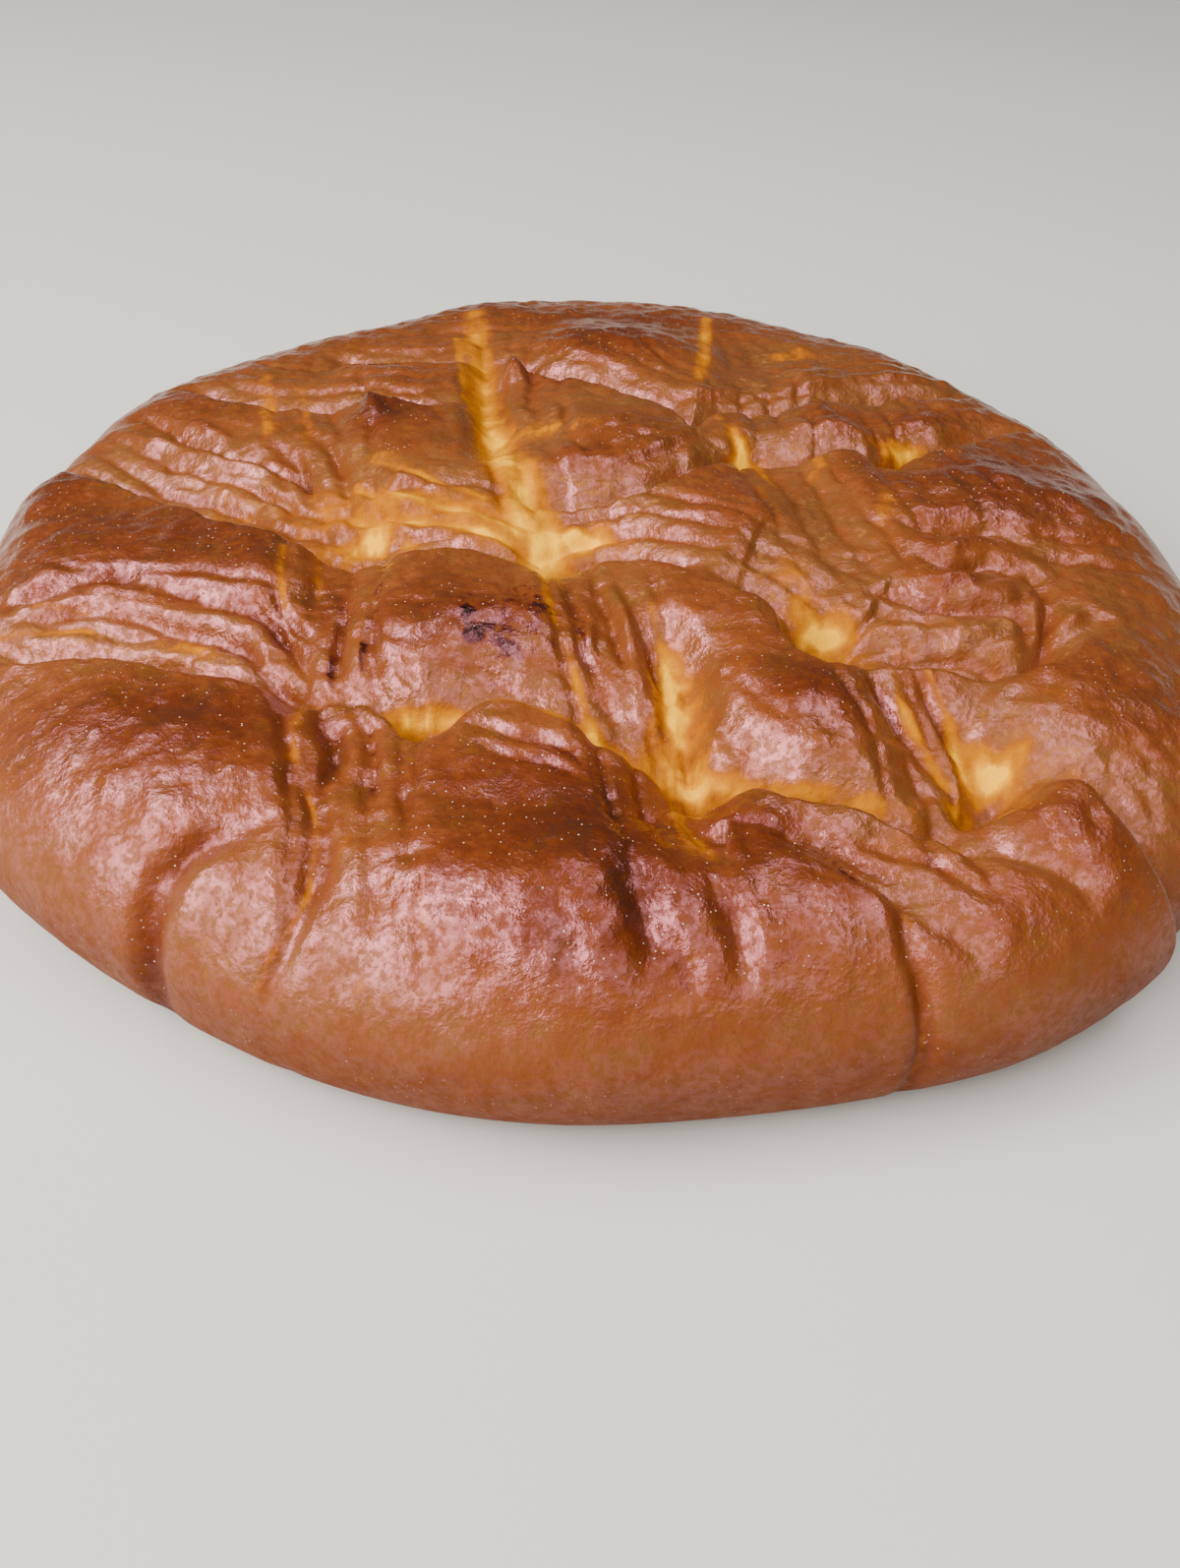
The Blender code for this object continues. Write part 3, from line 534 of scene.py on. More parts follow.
# Creases: wavelength, how much closer they lie along y, depth, seed and width.
CREASES = ((9.0, 3.2, 0.28, 38, 0.16), (5.0, 2.6, 0.18, 39, 0.18))
LEAST_SQUEEZE = 0.3        # what the smooth tops still have of the wrinkles
FULL_SQUEEZE = 3.0         # depth of fold and band at which the wrinkles are at their full height
WRINKLE_SHARE = 0.13       # height of the wrinkles along a fold, as a share of its depth


def valleys(x, y, cell, seed, width):
    """Thin valleys that wander like the creases of leather: 1 in a valley, 0 away from one."""
    return np.exp(-(waves(x, y, cell, seed) / width) ** 2)


def fine_relief(x, y, marks):
    """Wrinkles and small lumps, in millimetres."""
    bent_x = x + 2.0 * waves(x, y, 12.0, 33)
    bent_y = y + 1.5 * waves(x, y, 9.0, 35)
    lumps = sum(rise * waves(x, y, wavelength, seed) for wavelength, rise, seed in LUMPS)
    pull = 0.18 * waves(bent_x, 3.0 * y, 6.0, 34) + 0.09 * waves(bent_x, 3.4 * bent_y, 3.4, 36)
    drawn = ease(0.5 + 1.2 * waves(x, y, 16.0, 37))
    creases = sum(depth * drawn * valleys(bent_x, closer * bent_y, wavelength, seed, width)
                  for wavelength, closer, depth, seed, width in CREASES)
    squeeze = np.clip((marks.fold + marks.band) / FULL_SQUEEZE, 0.0, 1.0)
    squeezed = LEAST_SQUEEZE + (1.0 - LEAST_SQUEEZE) * squeeze
    return lumps + squeezed * (pull - creases) + WRINKLE_SHARE * marks.wrinkle


# %% [markdown]
# ## From a square net to a loaf
#
# A grid of squares has no crowded pole, so it is bent into a disc and the disc is drawn over the
# loaf: its centre is the crown, its rim the foot. Points are pushed out along the plain loaf's
# own slope, so a fold near the rim cuts into the side and not just downwards.

# %% The crust mesh
NET_STEPS = 560
SIDE_FINENESS = 0.3        # how much of the fine relief the smooth side has
SIDE_TOP = 22.0            # up to this height above the board
FINE_OVER = 12.0           # and over this much more height it grows to the whole


def place_on_loaf(u, v):
    """Points of the crust for places in a unit disc, with each one's marks and place in plan."""
    angle = np.arctan2(v, u)
    profile = plain_profile()
    steps = np.hypot(*np.diff(profile, axis=0).T)
    travelled = np.concatenate([[0.0], np.cumsum(steps)])
    slope = np.gradient(profile, travelled, axis=0)
    reach = np.hypot(u, v) * travelled[-1]
    radius = np.interp(reach, travelled, profile[:, 0])
    height = np.interp(reach, travelled, profile[:, 1])
    out = -np.interp(reach, travelled, slope[:, 1])
    up = np.interp(reach, travelled, slope[:, 0])
    steepness = np.hypot(out, up)
    radius *= belt_radius(angle) / BELT_RADIUS
    plan_x = radius * np.cos(angle)
    plan_y = radius * np.sin(angle)
    marks = relief(plan_x, plan_y)
    fineness = SIDE_FINENESS + (1.0 - SIDE_FINENESS) * ease((height - SIDE_TOP) / FINE_OVER)
    rise = marks.height + fineness * fine_relief(plan_x, plan_y, marks)
    rise *= np.where(up < 0, ease(height / BELT_HEIGHT), 1.0)
    radius = radius + rise * out / steepness
    height = height + rise * up / steepness
    points = np.column_stack([radius * np.cos(angle), radius * np.sin(angle), height])
    return points, marks, plan_x, plan_y


def read_points(mesh):
    """A mesh's points as rows of x, y and z."""
    places = np.empty(len(mesh.vertices) * 3, dtype=np.float32)
    mesh.vertices.foreach_get("co", places)
    return places.reshape(-1, 3).astype(float)


# %% Draw the net over the loaf
net = bmesh.new()
bmesh.ops.create_grid(net, x_segments=NET_STEPS, y_segments=NET_STEPS, size=1.0)
crust_mesh = bpy.data.meshes.new("crust")
net.to_mesh(crust_mesh)
net.free()
square = read_points(crust_mesh)
disc_u = square[:, 0] * np.sqrt(1 - square[:, 1] ** 2 / 2)
disc_v = square[:, 1] * np.sqrt(1 - square[:, 0] ** 2 / 2)
points, marks, plan_x, plan_y = place_on_loaf(disc_u, disc_v)
crust_mesh.vertices.foreach_set("co", (points * MM).astype(np.float32).ravel())
crust_mesh.update()
print(len(crust_mesh.vertices), "points in the net")

# %% [markdown]
# ## Where the crust is pale, brown or burnt, and where shade is painted
#
# Browning needs dry heat. The tops of the pillows get the most of it, the folds the least, and
# in the funnels the dough stays yellow. The side near the foot is made darker as painted shade,
# and the fork's grooves and the creases are darker, partly as browner skin and partly as painted
# shade. Each of these is stored on the mesh as a number for every point, which the material then
# reads. Numbers stay with the surface from every side, where a painted picture would need unwrapping.

# %% Where the crust is golden
# Golden patches where the dough stayed covered: x, y, half length, half width, turn, strength.
GOLD = (
    (12, -54, 3, 12, -5, 1.1), (15, -69, 5, 5, 0, 1.3), (29, -74, 12, 1.7, -6, 1.1),
    (24, -56, 8, 10, -6, 0.2), (37, -36, 4, 2.8, 0, 1.5), (-42, -14.5, 6, 2, 0, 0.8),
    (-3, -15, 6, 2.4, -8, 1.2), (-27, -61, 8, 1.8, 0, 1.0), (-1, -65, 7, 2.2, -25, 1.1),
    (-65, -45, 5, 1.6, -18, 0.9), (54, -72, 2.2, 1.6, 0, 1.5), (59, -64.5, 3, 2.2, 0, 1.5),
    (55, -62, 3, 7, -10, 0.5), (27, 15, 3, 5, 10, 1.2), (40, 68.5, 5, 4, 0, 1.4),
    (57, 27, 5, 2.5, 15, 1.5), (24, 20.5, 3, 2.5, 0, 1.0), (39, 11, 2, 4, 0, 0.9),
    (39, 5, 2, 4, 0, 0.5), (33, -27, 3, 8, 10, 0.7), (28, 1, 2, 5, 10, 0.5),
    (49, -5, 2, 4, 0, 0.5), (53, -14, 2, 6, 0, 0.5), (41, -84, 3.5, 2, 0, 1.0),
    (14, -88, 2.5, 4, 20, 0.6), (63, -63, 2.5, 6, -10, 0.6), (-38, -17, 6, 1.6, -15, 0.8),
    (-12, 20, 5, 2.5, 0, 0.8), (-4, 18, 4, 2.5, 0, 0.8), (-20, 22, 3, 5, 0, 0.7),
    (-2, 44, 9, 2, -35, 0.6), (70, -52, 5, 4, 0, 0.4), (-40, 6, 8, 2, -35, 0.5),
    (-34, 4, 14, 9, -20, 0.3), (-10, 17, 10, 9, 0, 0.25), (0, 30, 14, 7, 0, 0.22),
    (50, -8, 2.5, 7, -10, 0.5),
)
# Golden streaks along the valleys, and pale lines where the skin tore.
STREAKS = (
    Stroke(3.0, ((-30, 84, 0.6), (-28, 64, 0.9), (-25, 40, 0.9), (-22, 22, 1.0),
                 (-18, 5, 1.0))),
    Stroke(4.0, ((-19, 8, 0.6), (-16, 1, 1.1), (-13, -8, 1.2), (-11, -15, 1.4),
                 (-10, -22, 1.4))),
    Stroke(0.9, ((-33, 70, 0.5), (-30, 50, 0.6), (-28, 34, 0.4))),
    Stroke(1.6, ((22, 86, 0.8), (21, 72, 1.0), (20, 58, 0.8), (18, 42, 0.3))),
    Stroke(1.6, ((-70, 48, 0.5), (-67, 34, 0.7), (-64, 20, 0.5))),
    Stroke(1.2, ((-62, 42, 0.3), (-58, 28, 0.5), (-56, 16, 0.3))),
    Stroke(5.0, ((-50, -2, 0.3), (-40, -7, 0.45), (-28, -11, 0.5), (-18, -14, 0.5))),
    Stroke(0.9, ((-45, 0, 0.3), (-38, -6, 0.8), (-30, -9.5, 0.9), (-22, -12, 0.9),
                 (-15, -15, 0.9))),
    Stroke(0.9, ((-46, -7, 0.3), (-40, -11, 0.9), (-32, -13.5, 0.9), (-24, -15, 1.0),
                 (-16, -18, 1.0))),
    Stroke(0.8, ((-42, 5, 0.3), (-35, 0, 0.7), (-28, -4, 0.7), (-21, -8, 0.8))),
    Stroke(1.1, ((20, 30, 0.4), (24, 22, 0.6), (28, 12, 0.6), (31, 2, 0.4))),
    Stroke(0.7, ((-98, -40, 0.4), (-89, -40.5, 0.6), (-81, -40, 0.4))),
    Stroke(0.6, ((-92, -35.5, 0.5), (-83, -36.5, 0.5))),
    Stroke(0.6, ((-44, -70, 0.2), (-40, -80, 0.4), (-38, -88, 0.45), (-39, -99, 0.45),
                 (-44, -106, 0.2))),
    Stroke(0.8, ((-53, -23, 0.5), (-52, -32, 0.6), (-50, -40, 0.3))),
    Stroke(0.8, ((-49, -19, 0.4), (-47, -28, 0.3), (-45, -42, 0.1))),
    Stroke(1.0, ((-44, -62, 0.3), (-44, -68, 0.4), (-43, -73, 0.2))),
    Stroke(0.8, ((-18, -62, 0.4), (-10, -62.5, 0.7), (-4, -66, 0.4))),
    Stroke(0.9, ((-10, -28, 1.0), (-8, -40, 0.6), (-4, -52, 0.5), (0, -64, 0.7))),
    Stroke(0.9, ((8, -38, 0.3), (11, -50, 0.8), (13, -62, 1.0))),
    Stroke(0.7, ((42, -97, 0.4), (44, -103, 0.3), (46, -112, 0.2))),
    Stroke(1.1, ((12, -80, 0.6), (14, -86, 0.5), (16, -91, 0.2))),
    Stroke(0.8, ((-33, -86, 0.1), (-34, -92, 0.3), (-35, -98, 0.1))),
    Stroke(0.8, ((-22, -90, 0.2), (-22, -99, 0.3), (-21, -106, 0.1))),
    Stroke(0.9, ((44, -46, 0.4), (47, -58, 0.7), (52, -68, 1.0))),
    Stroke(0.8, ((51, -50, 0.4), (55, -60, 0.8), (58, -68, 1.0))),
)
print(len(GOLD), "golden patches and", len(STREAKS), "streaks")

# %% Where it is darker or burnt
# Darker patches, and lighter ones where the strength is below 0: six numbers as for the gold.
BROWNER = (
    (-58, -20, 20, 8, -25, 0.4), (-75, -12, 18, 6, -15, 0.3), (-22, -36, 14, 6, 0, -0.1),
    (-44, -37, 5, 9, 0, 1.1), (-34, 2, 16, 8, -20, -0.5), (4, 22, 18, 8, 0, -0.3),
    (-6, -77, 24, 7, 0, 0.6), (5, 84, 34, 8, 0, 0.8), (84, -60, 10, 12, 0, 0.4),
    (-12, -48, 8, 9, 0, 0.45), (30, -57, 12, 6, -10, 0.55), (-4, -84, 26, 9, 0, 0.8),
    (-60, -64, 30, 8, 0, 0.8), (26, -88, 22, 7, -10, 0.8), (68, -80, 14, 5, -20, 0.5),
    (75, 20, 22, 12, 0, 0.4), (10, 8, 10, 8, 0, 0.3), (-42, 22, 5, 6, 0, 0.9), (-38, 8, 5, 4, 0, 0.7),
    (-8, 44, 10, 3, -30, 0.6), (60, 36, 20, 4, 15, 0.6),
)
# Blistered spots that burnt, and fork lines that scorched.
BLISTERS = (
    (-20.3, -45.5, 0.8, 1.6, 12, 0.9), (-19.4, -49, 1.4, 1.1, 10, 1.3),
    (-13.8, -50.5, 2.2, 1.0, -30, 0.8), (-16, -47, 7, 5, -30, 0.38), (-10, -42, 4, 6, 20, 0.3),
)
SCORCHES = (
    Stroke(0.9, ((-41, -38, 0.5), (-41, -47, 0.9), (-40, -56, 0.7))),
    Stroke(0.9, ((-35, -36, 0.6), (-35, -48, 0.8), (-35, -60, 0.8))),
    Stroke(0.8, ((-34, -68, 0.5), (-32, -75, 0.7), (-29, -83, 0.2))),
    Stroke(0.8, ((-26, -70, 0.4), (-24, -79, 0.2))),
    Stroke(0.7, ((-15, -67, 0.4), (-8, -71, 0.8), (-2, -76, 0.4))),
    Stroke(0.6, ((-16, -71, 0.3), (-10, -73, 0.7), (-4, -77, 0.4))),
    Stroke(0.8, ((-6, -34, 0.3), (-4, -46, 0.6), (0, -58, 0.2))),
    Stroke(0.7, ((-1, -36, 0.2), (2, -48, 0.5), (4, -55, 0.2))),
    Stroke(0.8, ((5, -36, 0.3), (8, -46, 0.4), (10, -56, 0.1))),
    Stroke(0.7, ((25, -86, 0.2), (34, -89, 0.6), (40, -94, 0.5))),
    Stroke(0.7, ((-24, -53, 0.3), (-17, -55, 0.5), (-12, -58, 0.3))),
)
print(len(BROWNER), "brown patches,", len(BLISTERS) + len(SCORCHES), "burnt ones")

# %% Amounts for every point
# What each adds to the browning and painted shade: the bare dough, the tops, the patches, the
# sheltered folds (which lose theirs), painted shade on the side near the foot, and the fork's tines
# and the creases, which are partly browner skin and partly painted shade.
DOUGH_SHARE = 0.19
TOP_SHARE = 0.34
PATCH_SHARE = 0.26
FOLD_SHARE = 0.10
FOOT_SHADE_SHARE = 0.14
TINE_BROWN_AND_SHADE = 0.16
DENT_BROWN_AND_SHADE = 0.13
# Gold for each millimetre of fold and of band, and the strength of the scorched lines.
FOLD_GOLD = 0.055
BAND_GOLD = 0.015
SCORCH_SHARE = 0.42
# Heights above the board where each starts, and how much more it takes to reach the whole.
TOP_START, TOP_OVER = 20.0, 16.0
INSIDE_START, INSIDE_OVER = 22.0, 8.0
FOOT_SHADE_START, FOOT_SHADE_OVER = 24.0, 10.0
WASH_START, WASH_OVER = 5.0, 33.0

height_above_board = points[:, 2]
tops = ease((marks.height + 1.5) / 4.5) * ease((height_above_board - TOP_START) / TOP_OVER)
lowness = np.clip((marks.fold + 0.6 * marks.band) / 4.0, 0.6, 1.2)
ragged = 1.0 + 0.5 * waves(plan_x, plan_y, 3.6, 41) + 0.3 * waves(plan_x, plan_y, 1.6, 42)
gold = patches(GOLD, plan_x, plan_y) * lowness * ragged
for cell, seed in ((3.2, 45), (1.7, 46)):
    gold -= 0.35 * np.minimum(gold, 1.0) * valleys(marks.wander_x, 0.5 * plan_y, cell, seed, 0.28)
inside = ease((height_above_board - INSIDE_START) / INSIDE_OVER)
deep = np.maximum(marks.fold - 2.0, 0.0)
gold += inside * ragged * (FOLD_GOLD * deep + BAND_GOLD * marks.band)
for streak in STREAKS:
    gold += stroke_strength(streak, plan_x, plan_y, breaks=0.5)
browning_and_shade = DOUGH_SHARE + TOP_SHARE * tops + PATCH_SHARE * patches(BROWNER, plan_x, plan_y)
browning_and_shade -= FOLD_SHARE * inside * np.clip(marks.fold / 5.0, 0.0, 1.0)
# Painted shade: the side near the foot is made darker, standing in for the lesser light that reaches
# it.
browning_and_shade += FOOT_SHADE_SHARE * ease((FOOT_SHADE_START - height_above_board) / FOOT_SHADE_OVER)
# The fork's grooves and the creases are made darker: partly browner skin, partly painted shade.
browning_and_shade += TINE_BROWN_AND_SHADE * np.clip(marks.tine, 0, 1.5) + DENT_BROWN_AND_SHADE * np.clip(marks.dent, 0, 2.5)
char = patches(BLISTERS, plan_x, plan_y) * (1.0 + 0.6 * waves(plan_x, plan_y, 1.4, 43))
for scorch in SCORCHES:
    char += SCORCH_SHARE * stroke_strength(scorch, marks.wander_x, marks.wander_y, breaks=0.8)
run_down = 3.0 * waves(plan_x, plan_y, 14.0, 44)
washed = ease((height_above_board - WASH_START + run_down) / WASH_OVER)
layers = {"gold": gold, "browning_and_shade": browning_and_shade, "char": char, "washed": washed}
for name, amounts in layers.items():
    layer = crust_mesh.attributes.new(name, "FLOAT", "POINT")
    layer.data.foreach_set("value", np.clip(amounts, 0.0, 2.0).astype(np.float32))
    print(name, "from", round(float(amounts.min()), 2), "to", round(float(amounts.max()), 2))

# %% [markdown]
# ## The foot
#
# The loaf baked on a flat tray. Cutting the net off at the board and closing it with one face
# gives the same flat foot as the solid. The crust is then centred on the solid, which was
# centred on its own box.

# %% Close the foot and centre the crust
shell = bmesh.new()
shell.from_mesh(crust_mesh)
everything = shell.verts[:] + shell.edges[:] + shell.faces[:]
bmesh.ops.bisect_plane(shell, geom=everything, dist=1e-6, plane_co=Vector((0, 0, 0)),
                       plane_no=Vector((0, 0, -1)), clear_outer=True)
bmesh.ops.contextual_create(shell, geom=[edge for edge in shell.edges if edge.is_boundary])
bmesh.ops.recalc_face_normals(shell, faces=shell.faces[:])
shell.to_mesh(crust_mesh)
shell.free()
places = read_points(crust_mesh)
net_middle = (places.min(axis=0) + places.max(axis=0)) / 2
solid_low, solid_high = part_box(LOAF)
solid_middle = (solid_low + solid_high) / 2
shift = Vector((solid_middle.x - net_middle[0], solid_middle.y - net_middle[1], 0.0))
crust_mesh.transform(Matrix.Translation(shift))
crust_mesh.shade_smooth()
crust = bpy.data.objects.new("crust", crust_mesh)
bpy.context.scene.collection.objects.link(crust)
print("crust moved by", [round(float(step) / MM, 2) for step in shift], "mm")

# %% [markdown]
# ## Egg-washed baked crust
#
# The crust is dough whose surface dried, browned and was sealed by egg yolk. The browned dough
# scatters light softly, and the wash lies on it like a thin varnish with an IOR near 1.5. So the
# material is a brown base, dull on the bare side and glossy where it was washed, under a thin
# coat. The pattern scales come from real sizes: blotches of 30 mm from the oven's heat, olive
# patches of 7 mm where more yolk dried, mottling of 3 mm from the dough's cells, pebbles of
# 1.3 mm in the dried skin, a grain of 0.7 mm on them, and specks of dried foam 1.15 mm apart,
# whose near-white is partly a painted glint.

# %% Sizes and finishes of the crust
BLOTCH_MM = 30.0
OLIVE_MM = 7.0
MOTTLE_MM = 3.0
PEBBLE_MM = 1.3
GRAIN_MM = 0.7
BUBBLE_MM = 1.15         # spacing of the wash's tiny bubbles, about 0.25 mm across, pale with a painted glint
DRY_ROUGHNESS = 0.62     # bare baked dough
WASHED_ROUGHNESS = 0.12  # dough under a full wash of yolk
DRY_SPECULAR, WASHED_SPECULAR = 0.6, 1.5
DRY_COAT, WASHED_COAT = 0.0, 0.24
COAT_ROUGHNESS = 0.22
CRUST_IOR = 1.58         # dried yolk and sugar, a little above the wash's own 1.5
WASH_IOR = 1.5
print("pebbles of", PEBBLE_MM, "mm")

# %% [markdown]
# ### The brown dough
#
# Baked dough is never one brown. Sugars in the yolk redden it, and where more yolk dried it turns
# towards olive. Two colour ramps over the same shade, mixed by a noise, give both from one number.

# %% Brown dough
def brown_dough(tree, browning_and_shade, blotch, olive, mottle, pebble):
    """The browned colour, which also carries painted shade near the foot and in the grooves and
    creases. Its shade is the browning with that painted shade, and the noises' shares added around
    their middle of 0.5."""
    shares = ((blotch, 0.30), (mottle, 0.46), (pebble, 0.40))
    shade = add_node(tree, "ShaderNodeMath", {1: sum(share for _, share in shares) / 2},
                     {0: browning_and_shade}, operation="SUBTRACT").outputs[0]
    for noise, share in shares:
        shade = add_node(tree, "ShaderNodeMath", {1: share}, {0: noise, 2: shade},
                         operation="MULTIPLY_ADD").outputs[0]
    brown = add_node(tree, "ShaderNodeValToRGB", links={"Fac": shade}, stops=(
        (0.0, "#8C5428"), (0.12, "#6A3E1C"), (0.28, "#6B3615"), (0.55, "#54240D"),
        (0.85, "#2E1107")))
    olive_brown = add_node(tree, "ShaderNodeValToRGB", links={"Fac": shade}, stops=(
        (0.0, "#885424"), (0.12, "#664019"), (0.28, "#62370F"), (0.55, "#4B250B"),
        (0.85, "#2A1407")))
    olive_share = add_node(tree, "ShaderNodeMapRange",
                           {"From Min": 0.46, "From Max": 0.64, "To Max": 0.7},
                           {"Value": olive}, interpolation_type="SMOOTHSTEP")
    return add_node(tree, "ShaderNodeMix", data_type="RGBA", links={
        0: olive_share.outputs[0], 6: brown.outputs[0], 7: olive_brown.outputs[0]}).outputs[2]


print("brown dough has an olive patch about every", OLIVE_MM, "mm")

# %% [markdown]
# ### Gold, char, and specks of foam with painted glints
#
# Where the dough stayed covered it is golden, and where it blistered it burnt. Both are laid over
# the brown by a share with a ragged edge, since a smooth one would look sprayed on. The wash was
# whisked, so bubbles of its foam dried as pale specks: the middles of some cells of a Voronoi
# pattern are round and evenly strewn, as bubbles are. Their near-white colour is also a painted
# glint, standing in for light caught by the tiny bumps.

# %% Golden and burnt dough
def golden_dough(tree, colour, gold, mottle, pebble):
    """Gold laid over a colour."""
    amber = add_node(tree, "ShaderNodeMath", {1: 0.62, 2: -0.36}, {0: gold},
                     operation="MULTIPLY_ADD").outputs[0]
    for noise, share in ((mottle, 0.50), (pebble, 0.30)):
        amber = add_node(tree, "ShaderNodeMath", {1: share}, {0: noise, 2: amber},
                         operation="MULTIPLY_ADD").outputs[0]
    golden = add_node(tree, "ShaderNodeValToRGB", links={"Fac": amber}, stops=(
        (0.08, "#743A10"), (0.30, "#8A4A0C"), (0.60, "#A76404"), (0.90, "#C98604"),
        (1.0, "#E09E0A")))
    golden_share = add_node(tree, "ShaderNodeMapRange", {"From Min": 0.06, "From Max": 0.40},
                            {"Value": amber}, interpolation_type="SMOOTHSTEP").outputs[0]
    return add_node(tree, "ShaderNodeMix", data_type="RGBA", links={
        0: golden_share, 6: colour, 7: golden.outputs[0]}).outputs[2]


def burnt_dough(tree, colour, char, pebble):
    """Char laid over a colour."""
    scorched = add_node(tree, "ShaderNodeMath", {1: 0.50}, {0: char},
                        operation="SUBTRACT").outputs[0]
    scorched = add_node(tree, "ShaderNodeMath", {1: 1.0}, {0: pebble, 2: scorched},
                        operation="MULTIPLY_ADD").outputs[0]
    burnt = add_node(tree, "ShaderNodeValToRGB", links={"Fac": scorched}, stops=(
        (0.25, "#421409"), (0.6, "#240B07"), (0.95, "#0A0504")))
    burnt_share = add_node(tree, "ShaderNodeMapRange", {"From Min": 0.12, "From Max": 0.5},
                           {"Value": scorched}, interpolation_type="SMOOTHSTEP")
    return add_node(tree, "ShaderNodeMix", data_type="RGBA", links={
        0: burnt_share.outputs[0], 6: colour, 7: burnt.outputs[0]}).outputs[2]


# %% Specks of foam and painted glints
def specks_of_foam_and_glint(tree, colour, place, browning_and_shade, mottle):
    """Tiny pale bubbles in some cells, only where the crust has browned, coloured up to a painted
    glint; also says where they are.
    """
    bubbles = add_node(tree, "ShaderNodeTexVoronoi", {"Scale": 1 / (BUBBLE_MM * MM)},
                       {"Vector": place})
    chosen = add_node(tree, "ShaderNodeSeparateColor", links={0: bubbles.outputs["Color"]})
    speck = add_node(tree, "ShaderNodeMapRange",
                     {"From Min": 0.06, "From Max": 0.13, "To Min": 1.0, "To Max": 0.0},
                     {"Value": bubbles.outputs["Distance"]}).outputs[0]
    for source, low, high in ((chosen.outputs[0], 0.25, 0.35), (browning_and_shade, 0.25, 0.45)):
        allowed = add_node(tree, "ShaderNodeMapRange", {"From Min": low, "From Max": high},
                           {"Value": source})
        speck = add_node(tree, "ShaderNodeMath", links={0: speck, 1: allowed.outputs[0]},
                         operation="MULTIPLY").outputs[0]
    # The specks' colour runs up to near white: pale dried foam, with a painted glint on top of it.
    foam_and_glint = add_node(tree, "ShaderNodeValToRGB", links={"Fac": mottle},
                    stops=((0.3, "#C79A78"), (0.7, "#F4E2D2")))
    return add_node(tree, "ShaderNodeMix", data_type="RGBA", links={
        0: speck, 6: colour, 7: foam_and_glint.outputs[0]}).outputs[2], speck


print("bubbles of foam lie about", BUBBLE_MM, "mm apart")

# %% [markdown]
# ### The skin and its gloss
#
# The dried skin is pebbled down to less than a millimetre, which is too fine for the mesh, so four
# bumps stack up, from the coarsest to the specks. The wash lies unevenly and its gloss comes
# and goes between the pebbles: one even gloss would look like plastic.

# %% Bumps of the skin
def skin_bumps(tree, mottle, pebble, grain, speck):
    """The stacked bumps, as a normal."""
    normal = None
    for height, strength, distance_mm in ((mottle, 0.6, 0.38), (pebble, 0.8, 0.23),
                                          (grain, 0.7, 0.12), (speck, 0.8, 0.12)):
        links = {"Height": height} if normal is None else {"Height": height, "Normal": normal}
        normal = add_node(tree, "ShaderNodeBump", {"Strength": strength,
                                                   "Distance": distance_mm * MM}, links).outputs[0]
    return normal


# %% The gloss of the wash
def wash_gloss(tree, washed, gold, olive, mottle, pebble):
    """The specular level, the coat's weight and the roughness that the egg wash gives."""
    patchy, thin = (
        add_node(tree, "ShaderNodeMapRange",
                 {"From Min": low, "From Max": 0.60, "To Min": least, "To Max": 1.0},
                 {"Value": noise}, interpolation_type="SMOOTHSTEP").outputs[0]
        for noise, low, least in ((pebble, 0.38, 0.25), (olive, 0.36, 0.35)))
    plain = add_node(tree, "ShaderNodeMapRange",
                     {"From Min": 0.15, "From Max": 0.6, "To Min": 1.0, "To Max": 0.05},
                     {"Value": gold}, interpolation_type="SMOOTHSTEP").outputs[0]
    gloss = []
    for bare, full in ((DRY_SPECULAR, WASHED_SPECULAR), (DRY_COAT, WASHED_COAT)):
        amount = add_node(tree, "ShaderNodeMapRange",
                          {"From Min": 0.1, "From Max": 1.0, "To Min": bare, "To Max": full},
                          {"Value": washed}).outputs[0]
        for share in (patchy, thin, plain):
            amount = add_node(tree, "ShaderNodeMath", links={0: amount, 1: share},
                              operation="MULTIPLY").outputs[0]
        gloss.append(amount)
    dryness = add_node(tree, "ShaderNodeMapRange",
                       {"To Min": DRY_ROUGHNESS, "To Max": WASHED_ROUGHNESS},
                       {"Value": washed}).outputs[0]
    for source, share in ((gold, 0.12), (mottle, 0.20)):
        dryness = add_node(tree, "ShaderNodeMath", {1: share}, {0: source, 2: dryness},
                           operation="MULTIPLY_ADD").outputs[0]
    return gloss[0], gloss[1], dryness


print("roughness from", DRY_ROUGHNESS, "where it is dry to", WASHED_ROUGHNESS, "under the wash")

